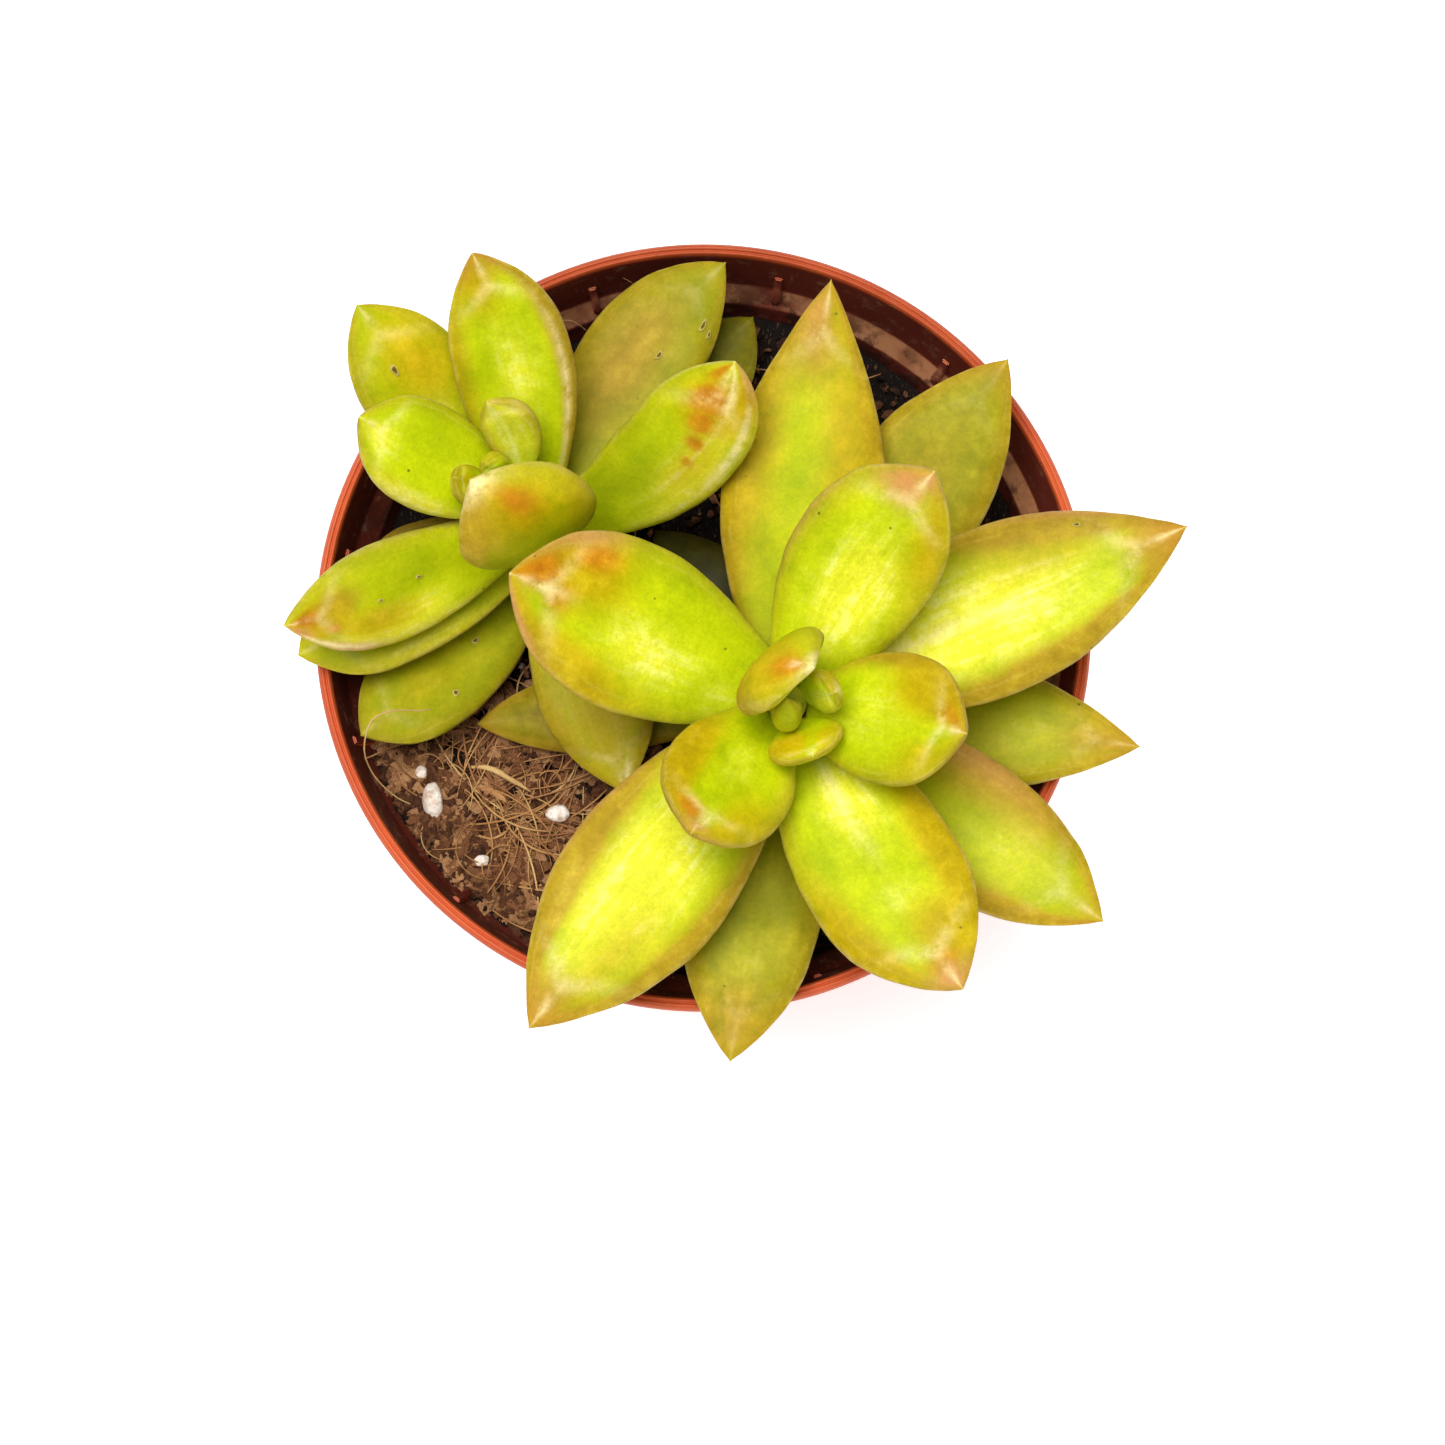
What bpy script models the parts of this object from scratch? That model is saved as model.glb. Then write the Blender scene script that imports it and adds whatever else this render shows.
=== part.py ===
"""Golden sedum in a round plastic nursery pot.

Two rosettes of thick, boat-shaped leaves stand on two short stems rooted in one pot of coir mix.
Metres, +Z up. The origin is the centre of the pot's underside, so the pot stands on Z = 0.
"""

import math

import bmesh
import bpy
from mathutils import Matrix, Vector, noise

# ---------------------------------------------------------------- driving sizes
RIM_RADIUS = 0.0425
POT_HEIGHT = 0.075
FOOT_RADIUS = 0.0302
LIP_WIDTH = 0.0014
WALL = 0.0009
LEDGE_TOP = 0.0668  # height of the stacking ledge inside the collar
LEDGE_DROP = 0.0022
COLLAR_INSIDE = 0.0402  # inner radius at the foot of the collar
LEDGE_WIDTH = 0.0019
COLLAR_FOOT = 0.0632  # height at which the collar steps out from the wall
FOOT_RING = 0.0026
CENTRE_PAD = 0.0085
FOOT_RISE = 0.0016  # how far the floor is lifted off the ground between pad and foot ring
FLOOR_TOP = 0.0030
GAP = 0.0003  # clearance between pieces that touch
POT_SEGMENTS = 48

RIB_COUNT = 12
RIB_PHASE = math.radians(18)
RIB_WIDTH = 0.0009
RIB_HEIGHT = 0.0036

DRAIN_HOLES = 8
DRAIN_RADIUS = 0.0026
DRAIN_CIRCLE = 0.0195

SOIL_TOP = 0.0625
SOIL_BUMP = 0.0006

# ---------------------------------------------------------------- materials


def plain_material(name, colour, roughness):
    """A plain Principled material in one colour."""
    material = bpy.data.materials.new(name)
    material.use_nodes = True
    shader = material.node_tree.nodes["Principled BSDF"]
    shader.inputs["Base Color"].default_value = (*colour, 1)
    shader.inputs["Roughness"].default_value = roughness
    shader.inputs["Metallic"].default_value = 0
    return material


def add_object(name, mesh, material):
    obj = bpy.data.objects.new(name, mesh)
    obj.data.materials.append(material)
    bpy.context.scene.collection.objects.link(obj)
    return obj


def mesh_from(name, points, faces):
    mesh = bpy.data.meshes.new(name)
    mesh.from_pydata([tuple(p) for p in points], [], faces)
    mesh.shade_smooth()
    return mesh


def face_outwards(mesh):
    """Turns every face of a closed mesh to face outwards."""
    shell = bmesh.new()
    shell.from_mesh(mesh)
    bmesh.ops.recalc_face_normals(shell, faces=shell.faces)
    shell.to_mesh(mesh)
    shell.free()


# ---------------------------------------------------------------- turned solids


def turned(name, profile, segments, height_of=None):
    """A solid of revolution. The profile runs from the axis outwards and back to the axis, as
    (radius, height) pairs, anticlockwise when radius points right. Radius 0 makes a pole."""
    points, faces, rings = [], [], []
    for radius, height in profile:
        ring = []
        count = segments if radius > 0 else 1
        for k in range(count):
            angle = 2 * math.pi * k / segments
            x, y = radius * math.cos(angle), radius * math.sin(angle)
            z = height if height_of is None else height_of(x, y, height)
            ring.append(len(points))
            points.append((x, y, z))
        rings.append(ring)
    for low, high in zip(rings, rings[1:]):
        for k in range(segments):
            after = (k + 1) % segments
            if len(low) == 1:
                faces.append((low[0], high[after], high[k]))
            elif len(high) == 1:
                faces.append((low[k], low[after], high[0]))
            else:
                faces.append((low[k], low[after], high[after], high[k]))
    mesh = mesh_from(name, points, faces)
    face_outwards(mesh)
    mesh.set_sharp_from_angle(angle=math.radians(40))
    return mesh


def boolean(target, tool, operation):
    """Joins or cuts with another object, which is then hidden from the build."""
    tool.hide_render = True
    tool.display_type = "WIRE"
    modifier = target.modifiers.new(operation.title() + "_" + tool.name, "BOOLEAN")
    modifier.operation = operation
    modifier.solver = "EXACT"
    modifier.object = tool


# ---------------------------------------------------------------- pot


def wall_inside(z):
    """Inner radius of the tapered wall below the ledge."""
    top_z, top_r = LEDGE_TOP - LEDGE_DROP, COLLAR_INSIDE - LEDGE_WIDTH
    foot_r = FOOT_RADIUS - WALL
    return foot_r + (top_r - foot_r) * (z - FLOOR_TOP) / (top_z - FLOOR_TOP)


def pot_mesh():
    inner_lip = RIM_RADIUS - LIP_WIDTH
    ledge_foot_z = LEDGE_TOP - LEDGE_DROP
    ledge_foot_r = COLLAR_INSIDE - LEDGE_WIDTH
    collar_outer = COLLAR_INSIDE + WALL + 0.0003
    profile = [
        (0, 0),
        (CENTRE_PAD, 0),
        (CENTRE_PAD + 0.0008, FOOT_RISE),
        (FOOT_RADIUS - FOOT_RING, FOOT_RISE),
        (FOOT_RADIUS - FOOT_RING + 0.0004, 0),
        (FOOT_RADIUS - 0.0006, 0),
        (FOOT_RADIUS, 0.0006),
        (ledge_foot_r + WALL, COLLAR_FOOT - 0.0006),
        (collar_outer - 0.0003, COLLAR_FOOT),
        (collar_outer, COLLAR_FOOT + 0.0008),
        (RIM_RADIUS - 0.0007, POT_HEIGHT - 0.0028),
        (RIM_RADIUS, POT_HEIGHT - 0.0021),
        (RIM_RADIUS, POT_HEIGHT - 0.0006),
        (RIM_RADIUS - 0.0005, POT_HEIGHT),
        (inner_lip + 0.0004, POT_HEIGHT),
        (inner_lip, POT_HEIGHT - 0.0005),
        (COLLAR_INSIDE, LEDGE_TOP),
        (ledge_foot_r, ledge_foot_z),
        (wall_inside(FLOOR_TOP + 0.0012), FLOOR_TOP + 0.0012),
        (wall_inside(FLOOR_TOP) - 0.0012, FLOOR_TOP),
        (0, FLOOR_TOP),
    ]
    return turned("pot", profile, POT_SEGMENTS)


def rib_mesh(name):
    """One thin fin that stands on the ledge and dies into the collar wall."""
    inner = COLLAR_INSIDE - LEDGE_WIDTH * 0.85
    outer = COLLAR_INSIDE + WALL * 0.7
    low = LEDGE_TOP - LEDGE_DROP * 1.25
    top = LEDGE_TOP + RIB_HEIGHT * 0.35
    crest = LEDGE_TOP + RIB_HEIGHT
    half = RIB_WIDTH / 2
    outline = [(inner, low + 0.0006), (outer, low + 0.0006), (outer, crest), (inner + 0.0010, top)]
    points = [(r, side * half, z) for side in (-1, 1) for r, z in outline]
    faces = [(0, 1, 2, 3), (7, 6, 5, 4), (0, 4, 5, 1), (1, 5, 6, 2), (2, 6, 7, 3), (3, 7, 4, 0)]
    return mesh_from(name, points, faces)


def drain_mesh(name):
    profile = [(0, -0.002), (DRAIN_RADIUS, -0.002), (DRAIN_RADIUS, 0.006), (0, 0.006)]
    return turned(name, profile, 12)


def build_pot():
    terracotta = plain_material("terracotta_plastic", (0.56, 0.15, 0.065), 0.45)
    pot = add_object("nursery_pot", pot_mesh(), terracotta)
    for k in range(RIB_COUNT):
        name = f"rib_tool_{k:02d}"
        rib = add_object(name, rib_mesh(name), terracotta)
        rib.rotation_euler.z = RIB_PHASE + 2 * math.pi * k / RIB_COUNT
        boolean(pot, rib, "UNION")
    for k in range(DRAIN_HOLES):
        name = f"drain_tool_{k:02d}"
        angle = 2 * math.pi * (k + 0.5) / DRAIN_HOLES
        hole = add_object(name, drain_mesh(name), terracotta)
        hole.location = (DRAIN_CIRCLE * math.cos(angle), DRAIN_CIRCLE * math.sin(angle), 0)
        boolean(pot, hole, "DIFFERENCE")
    return pot


# ---------------------------------------------------------------- soil


def soil_height(x, y):
    """Height of the lumpy top of the coir mix."""
    lumps = noise.noise(Vector((x, y, 0)) * 160) + 0.5 * noise.noise(Vector((x, y, 0.02)) * 380)
    heap = 0.0011 * math.exp(-((x + 0.017) ** 2 + (y + 0.020) ** 2) / 0.013**2)
    return SOIL_TOP + SOIL_BUMP * lumps + heap


def soil_mesh():
    edge_top = wall_inside(SOIL_TOP) - GAP
    rings = [edge_top * f for f in (0.985, 0.86, 0.72, 0.58, 0.44, 0.30, 0.15)]
    foot_r = wall_inside(FLOOR_TOP + 0.0016) - GAP
    profile = [(0, 0), (foot_r - 0.0015, 0), (foot_r, 0.0013)]
    profile += [(edge_top, 0.5)] + [(r, 1) for r in rings] + [(0, 1)]

    def height_of(x, y, level):
        if level == 1:
            return soil_height(x, y)
        if level == 0.5:
            return SOIL_TOP - 0.0014
        return FLOOR_TOP + GAP + level

    return turned("coir_mix", profile, POT_SEGMENTS, height_of)


# ---------------------------------------------------------------- stems
# Each stem is a bent tapering cane: foot in the soil, top inside the rosette's bud.


class Stem:
    """The middle line of a stem as a smooth curve through its foot, knee and top."""

    def __init__(self, foot, knee, top, foot_radius, top_radius):
        self.points = [Vector(foot), Vector(knee), Vector(top)]
        self.foot_radius, self.top_radius = foot_radius, top_radius

    def at(self, t):
        a, b, c = self.points
        return a * (1 - t) ** 2 + b * 2 * t * (1 - t) + c * t**2

    def share(self, z):
        """The place along the stem, 0 to 1, at which it passes height z."""
        low, high = 0.0, 1.0
        for _ in range(30):
            middle = (low + high) / 2
            if self.at(middle).z < z:
                low = middle
            else:
                high = middle
        return low

    def centre(self, z):
        return self.at(self.share(z))

    def radius(self, z):
        share = self.share(z)
        return self.foot_radius + (self.top_radius - self.foot_radius) * share


BIG_STEM = Stem(
    foot=(0.0092, -0.0055, 0.0530),
    knee=(0.0089, -0.0085, 0.0780),
    top=(0.0088, -0.0122, 0.0975),
    foot_radius=0.0033,
    top_radius=0.0018,
)
LITTLE_STEM = Stem(
    foot=(-0.0162, 0.0085, 0.0530),
    knee=(-0.0160, 0.0085, 0.0740),
    top=(-0.0202, 0.0128, 0.0870),
    foot_radius=0.0028,
    top_radius=0.0014,
)
STEM_SIDES = 10
STEM_RINGS = 9
STEM_END = 0.93  # share of the middle line at which the cane ends, inside the bud


def stem_mesh(name, stem, grow=0.0):
    """The cane, or with grow the slightly wider socket that it stands in."""
    points = [stem.at(0) - Vector((0, 0, grow))]
    for i in range(STEM_RINGS):
        share = STEM_END * i / (STEM_RINGS - 1)
        centre = stem.at(share)
        ahead = (stem.at(min(share + 0.01, 1)) - stem.at(max(share - 0.01, 0))).normalized()
        side = ahead.cross(Vector((0, 1, 0))).normalized()
        front = ahead.cross(side)
        radius = stem.foot_radius + (stem.top_radius - stem.foot_radius) * share + grow
        lift = Vector((0, 0, -grow if i == 0 else 0))
        for k in range(STEM_SIDES):
            a = 2 * math.pi * k / STEM_SIDES
            points.append(centre + lift + radius * (side * math.cos(a) + front * math.sin(a)))
    points.append(stem.at(STEM_END) + Vector((0, 0, stem.top_radius * 0.6)))
    faces = []
    last = len(points) - 1
    for k in range(STEM_SIDES):
        after = (k + 1) % STEM_SIDES
        faces.append((0, 1 + after, 1 + k))
        faces.append((last, last - STEM_SIDES + k, last - STEM_SIDES + after))
        for i in range(STEM_RINGS - 1):
            a, b = 1 + i * STEM_SIDES + k, 1 + i * STEM_SIDES + after
            faces.append((a, b, b + STEM_SIDES, a + STEM_SIDES))
    mesh = mesh_from(name, points, faces)
    face_outwards(mesh)
    return mesh


# ---------------------------------------------------------------- leaves
# A leaf is a thick boat. Its middle line is a curve from the stem to its tip:
#   turn    side of the stem it grows from, degrees from +X
#   base    height at which it leaves the stem
#   x, y, z its tip
#   belly   how far its middle hangs out from the straight line, down and away from the stem
#   sway    how far its middle swings to the left, seen from the stem
#   roll    turn about its own length, degrees, positive lowers its right margin
#   width, depth  greatest width and thickness
#   widest  place of the greatest width, as a share of its length
#   point   1.5 draws the tip out, 2 is an even arch, 3 and more is blunt

BIG_LEAVES = [
    # turn base    x        y        z       belly   sway     roll width   depth   widest point
    (266, 0.0975, 0.0085, -0.0122, 0.1038, 0.0000, 0.0000, 0, 0.0032, 0.0026, 0.45, 2.5),
    (34, 0.0968, 0.0132, -0.0117, 0.1038, 0.0004, 0.0000, 0, 0.0048, 0.0028, 0.50, 2.6),
    (293, 0.0962, 0.0112, -0.0178, 0.1008, 0.0002, 0.0000, 0, 0.0080, 0.0030, 0.50, 2.2),
    (137, 0.0962, 0.0112, -0.0098, 0.1085, 0.0014, 0.0004, 0, 0.0112, 0.0042, 0.50, 3.0),
    (348, 0.0930, 0.0264, -0.0158, 0.1040, 0.0010, 0.0004, 0, 0.0138, 0.0054, 0.48, 3.0),
    (228, 0.0915, -0.0010, -0.0258, 0.1040, 0.0010, 0.0000, 0, 0.0138, 0.0056, 0.50, 2.7),
    (58, 0.0900, 0.0232, 0.0100, 0.1080, 0.0014, 0.0012, 0, 0.0154, 0.0060, 0.50, 3.0),
    (300, 0.0885, 0.0263, -0.0411, 0.0985, 0.0010, -0.0008, 0, 0.0166, 0.0062, 0.52, 2.8),
    (157, 0.0870, -0.0193, 0.0004, 0.1040, 0.0016, -0.0004, 0, 0.0176, 0.0062, 0.50, 3.0),
    (24, 0.0850, 0.0500, 0.0066, 0.0965, 0.0012, 0.0000, 0, 0.0178, 0.0062, 0.50, 1.9),
    (233, 0.0832, -0.0179, -0.0448, 0.0900, 0.0008, 0.0000, 0, 0.0180, 0.0062, 0.52, 2.1),
    (84, 0.0812, 0.0136, 0.0342, 0.0906, 0.0014, 0.0004, 0, 0.0178, 0.0060, 0.46, 1.6),
    (325, 0.0795, 0.0420, -0.0335, 0.0860, 0.0006, 0.0000, 0, 0.0150, 0.0060, 0.52, 2.4),
    (57, 0.0762, 0.0328, 0.0270, 0.0848, 0.0012, 0.0004, 0, 0.0154, 0.0052, 0.52, 2.4),
    (260, 0.0760, 0.0029, -0.0480, 0.0805, 0.0000, 0.0000, 0, 0.0148, 0.0056, 0.55, 2.3),
    (352, 0.0742, 0.0468, -0.0145, 0.0810, 0.0006, 0.0000, 0, 0.0128, 0.0052, 0.55, 1.8),
    (125, 0.0700, -0.0054, 0.0112, 0.0690, 0.0000, 0.0000, 0, 0.0110, 0.0042, 0.52, 2.2),
    (187, 0.0672, -0.0254, -0.0103, 0.0665, -0.0002, -0.0004, 0, 0.0096, 0.0042, 0.55, 2.2),
]

LITTLE_LEAVES = [
    (120, 0.0874, -0.0226, 0.0140, 0.0918, 0.0002, 0.0000, 0, 0.0030, 0.0024, 0.45, 2.5),
    (185, 0.0856, -0.0259, 0.0126, 0.0920, 0.0008, 0.0000, 0, 0.0044, 0.0028, 0.50, 2.6),
    (100, 0.0845, -0.0224, 0.0199, 0.0950, 0.0012, -0.0012, 0, 0.0060, 0.0036, 0.50, 2.8),
    (297, 0.0823, -0.0238, 0.0110, 0.0990, 0.0038, 0.0014, 0, 0.0150, 0.0048, 0.52, 3.2),
    (155, 0.0821, -0.0358, 0.0187, 0.0935, 0.0010, 0.0002, 0, 0.0114, 0.0050, 0.52, 3.0),
    (107, 0.0779, -0.0238, 0.0349, 0.0985, 0.0018, -0.0016, 0, 0.0128, 0.0048, 0.50, 2.6),
    (36, 0.0745, 0.0034, 0.0232, 0.0995, 0.0006, -0.0028, 28, 0.0122, 0.0050, 0.58, 3.6),
    (132, 0.0746, -0.0368, 0.0320, 0.0885, 0.0012, 0.0004, 0, 0.0128, 0.0048, 0.55, 3.0),
    (203, 0.0778, -0.0441, -0.0025, 0.0880, 0.0006, 0.0008, -32, 0.0112, 0.0048, 0.55, 2.6),
    (58, 0.0730, 0.0025, 0.0397, 0.0770, 0.0004, 0.0022, 0, 0.0132, 0.0050, 0.54, 2.8),
    (206, 0.0728, -0.0438, -0.0043, 0.0786, 0.0004, 0.0000, 0, 0.0118, 0.0038, 0.55, 3.2),
    (226, 0.0665, -0.0374, -0.0125, 0.0740, 0.0012, 0.0004, 0, 0.0122, 0.0044, 0.55, 3.2),
    (286, 0.0742, -0.0086, -0.0185, 0.0710, -0.0004, 0.0002, 0, 0.0128, 0.0048, 0.55, 2.2),
    (50, 0.0675, 0.0056, 0.0356, 0.0690, 0.0000, 0.0000, 0, 0.0110, 0.0040, 0.60, 3.0),
    (190, 0.0698, -0.0384, 0.0043, 0.0722, 0.0002, -0.0004, 0, 0.0108, 0.0036, 0.55, 2.6),
]

LEAF_RINGS = 9
LEAF_SIDES = 14
WAIST = 0.45  # width at the stem, as a share of the greatest width
UPPER_SHARE = 0.38  # part of the thickness above the margin
HOLLOW = 0.14  # dip along the middle of the upper face


def half_width(t, widest, point):
    """Outline of the leaf: waist at the stem, full width at widest, pointed at the tip."""
    if t < widest:
        return WAIST + (1 - WAIST) * math.sin(0.5 * math.pi * t / widest) ** 1.15
    return max(1 - ((t - widest) / (1 - widest)) ** point, 0.0)


def thickness(t):
    """Thickness along the leaf, as a share of its greatest, before the tip closes."""
    return 0.62 + 0.38 * math.sin(math.pi * min(t / 0.9, 1)) ** 0.8


def section(angle):
    """One point of the leaf's cross-section, (across, up) in -1..1: a flat, slightly hollow top
    with a shoulder along each margin, and a round keel below."""
    c, s = math.cos(angle), math.sin(angle)
    across = math.copysign(abs(c) ** 0.85, c)
    if s >= 0:
        return across, UPPER_SHARE * s**0.62 * (1 - HOLLOW * (1 - c * c) ** 2)
    return across, -(1 - UPPER_SHARE) * (-s) ** 0.9


class Leaf:
    """Places a leaf's cross-sections along its middle line."""

    def __init__(self, stem, row):
        turn, base, x, y, z, belly, sway, roll, width, depth, widest, point = row
        out = Vector((math.cos(math.radians(turn)), math.sin(math.radians(turn)), 0))
        start = stem.centre(base) + out * (stem.radius(base) + GAP)
        end = Vector((x, y, z))
        left = Vector((-out.y, out.x, 0))
        chord = (end - start).normalized()
        below = left.cross(chord).normalized()
        self.a, self.c = start, end
        self.b = (start + end) / 2 + left * (2 * sway) + below * (2 * belly)
        self.left, self.roll = left, math.radians(roll)
        self.width, self.depth, self.widest, self.point = width, depth, widest, point

    def middle(self, t):
        return self.a * (1 - t) ** 2 + self.b * (2 * t * (1 - t)) + self.c * t**2

    def axes(self, t):
        ahead = ((self.b - self.a) * (1 - t) + (self.c - self.b) * t).normalized()
        side = (self.left - ahead * self.left.dot(ahead)).normalized()
        side = Matrix.Rotation(self.roll, 3, ahead) @ side
        return side, ahead.cross(side)

    def ring(self, t, sides):
        side, up = self.axes(t)
        half = self.width / 2 * half_width(t, self.widest, self.point)
        deep = self.depth * thickness(t) * min(1.0, (half / (self.width / 2) + 0.05) ** 0.6)
        centre = self.middle(t)
        ring = []
        for k in range(sides):
            across, high = section(2 * math.pi * k / sides)
            ring.append(centre + side * (across * half) + up * (high * deep))
        return ring


def leaf_mesh(name, leaf):
    places = [0, 0.04] + [0.04 + 0.93 * (i / (LEAF_RINGS - 2)) ** 0.9 for i in range(1, LEAF_RINGS - 1)]
    points, faces = [leaf.middle(0)], []
    for i, t in enumerate(places):
        shrink = 0.72 if i == 0 else 1.0
        for p in leaf.ring(t, LEAF_SIDES):
            points.append(leaf.middle(t) + (p - leaf.middle(t)) * shrink)
    points.append(leaf.middle(1))
    last, rings = len(points) - 1, len(places)
    for k in range(LEAF_SIDES):
        after = (k + 1) % LEAF_SIDES
        faces.append((0, 1 + k, 1 + after))
        faces.append((last, last - LEAF_SIDES + after, last - LEAF_SIDES + k))
        for i in range(rings - 1):
            a, b = 1 + i * LEAF_SIDES + k, 1 + i * LEAF_SIDES + after
            faces.append((a, a + LEAF_SIDES, b + LEAF_SIDES, b))
    mesh = mesh_from(name, points, faces)
    face_outwards(mesh)
    return mesh


def build_rosette(prefix, stem, rows, colour):
    flesh = plain_material(prefix + "_leaf_flesh", colour, 0.4)
    for number, row in enumerate(rows, start=1):
        name = f"{prefix}_leaf_{number:02d}"
        add_object(name, leaf_mesh(name, Leaf(stem, row)), flesh)


# ---------------------------------------------------------------- perlite
# Puffed white grains lying on the mix: (x, y) and the three diameters of each.

PERLITE_GRAINS = [
    (-0.0302, -0.0188, 0.0024, 0.0040, 0.0022),
    (-0.0162, -0.0202, 0.0026, 0.0020, 0.0018),
    (-0.0316, -0.0156, 0.0014, 0.0016, 0.0012),
    (-0.0247, -0.0255, 0.0018, 0.0014, 0.0012),
    (-0.0117, -0.0198, 0.0010, 0.0014, 0.0010),
    (-0.0338, -0.0118, 0.0012, 0.0012, 0.0010),
]


def perlite_mesh(name, seed, diameters):
    """A rough pebble with flats, from a subdivided ball pushed in and out by noise."""
    shell = bmesh.new()
    bmesh.ops.create_icosphere(shell, subdivisions=2, radius=0.5)
    for vertex in shell.verts:
        lump = 1 + 0.22 * noise.noise(vertex.co * 2.3 + Vector((seed * 7.1, 0, 0)))
        vertex.co = Vector(axis * size * lump for axis, size in zip(vertex.co, diameters))
    mesh = bpy.data.meshes.new(name)
    shell.to_mesh(mesh)
    shell.free()
    return mesh


def build_perlite():
    white = plain_material("perlite", (0.85, 0.84, 0.80), 0.9)
    for number, (x, y, *diameters) in enumerate(PERLITE_GRAINS, start=1):
        name = f"perlite_grain_{number}"
        grain = add_object(name, perlite_mesh(name, number, diameters), white)
        reach = max(diameters[:2]) / 2
        around = [(x + dx, y + dy) for dx in (-reach, 0, reach) for dy in (-reach, 0, reach)]
        ground = max(soil_height(*place) for place in around)
        grain.location = (x, y, ground + GAP + diameters[2] * 0.58)


# ---------------------------------------------------------------- assembly

for old in list(bpy.data.objects):
    bpy.data.objects.remove(old)

build_pot()
soil = add_object("coir_mix", soil_mesh(), plain_material("coir", (0.16, 0.09, 0.05), 0.95))
bark = plain_material("green_stem", (0.30, 0.33, 0.10), 0.6)
for label, cane in (("big", BIG_STEM), ("little", LITTLE_STEM)):
    add_object(f"{label}_stem", stem_mesh(f"{label}_stem", cane), bark)
    socket = add_object(f"{label}_socket_tool", stem_mesh(f"{label}_socket", cane, GAP * 1.4), bark)
    boolean(soil, socket, "DIFFERENCE")
build_rosette("big", BIG_STEM, BIG_LEAVES, (0.50, 0.58, 0.04))
build_rosette("little", LITTLE_STEM, LITTLE_LEAVES, (0.45, 0.58, 0.05))
build_perlite()
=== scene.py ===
import math
import random

import bmesh
import bpy
from mathutils import Euler, Matrix, Vector, noise


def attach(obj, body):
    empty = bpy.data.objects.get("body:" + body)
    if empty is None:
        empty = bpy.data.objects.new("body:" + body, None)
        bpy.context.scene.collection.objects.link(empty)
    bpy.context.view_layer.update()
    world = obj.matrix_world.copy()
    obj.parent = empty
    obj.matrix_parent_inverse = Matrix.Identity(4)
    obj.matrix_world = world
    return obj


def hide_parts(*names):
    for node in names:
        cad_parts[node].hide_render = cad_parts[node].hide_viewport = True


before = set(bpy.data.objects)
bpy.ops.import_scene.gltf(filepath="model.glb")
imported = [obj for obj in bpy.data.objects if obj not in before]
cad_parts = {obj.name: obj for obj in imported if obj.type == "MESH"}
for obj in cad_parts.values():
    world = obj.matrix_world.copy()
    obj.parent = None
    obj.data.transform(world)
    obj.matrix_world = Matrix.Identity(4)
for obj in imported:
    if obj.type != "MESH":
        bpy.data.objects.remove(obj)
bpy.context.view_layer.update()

# ---------------------------------------------------------------- camera
# The pot is looked down on, a little from its front, so the rosettes are seen almost in plan. The
# camera stands 35 cm away, and its lens takes in the whole plant with bare table round it.

bpy.context.scene.view_settings.view_transform = "Standard"
lens = bpy.data.cameras.new("overhead")
lens.sensor_width = 36
lens.lens = 80.1
lens.clip_start = 0.01
camera = bpy.data.objects.new("overhead", lens)
bpy.context.scene.collection.objects.link(camera)
bpy.context.scene.camera = camera
elevation, distance, aimed_at = math.radians(83), 0.35, Vector((0.0021, -0.01115, 0.075))
towards_camera = Vector((0, -math.cos(elevation), math.sin(elevation)))
camera.location = aimed_at + distance * towards_camera
camera.rotation_euler = towards_camera.to_track_quat("Z", "Y").to_euler()

# ---------------------------------------------------------------- nursery pot
# A thin round pot moulded in terracotta-coloured polypropylene. Its collar stands out from the
# tapered wall, with a grooved lip above and a stacking ledge inside. Eight drain holes are punched
# between a centre pad and the foot ring.


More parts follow.
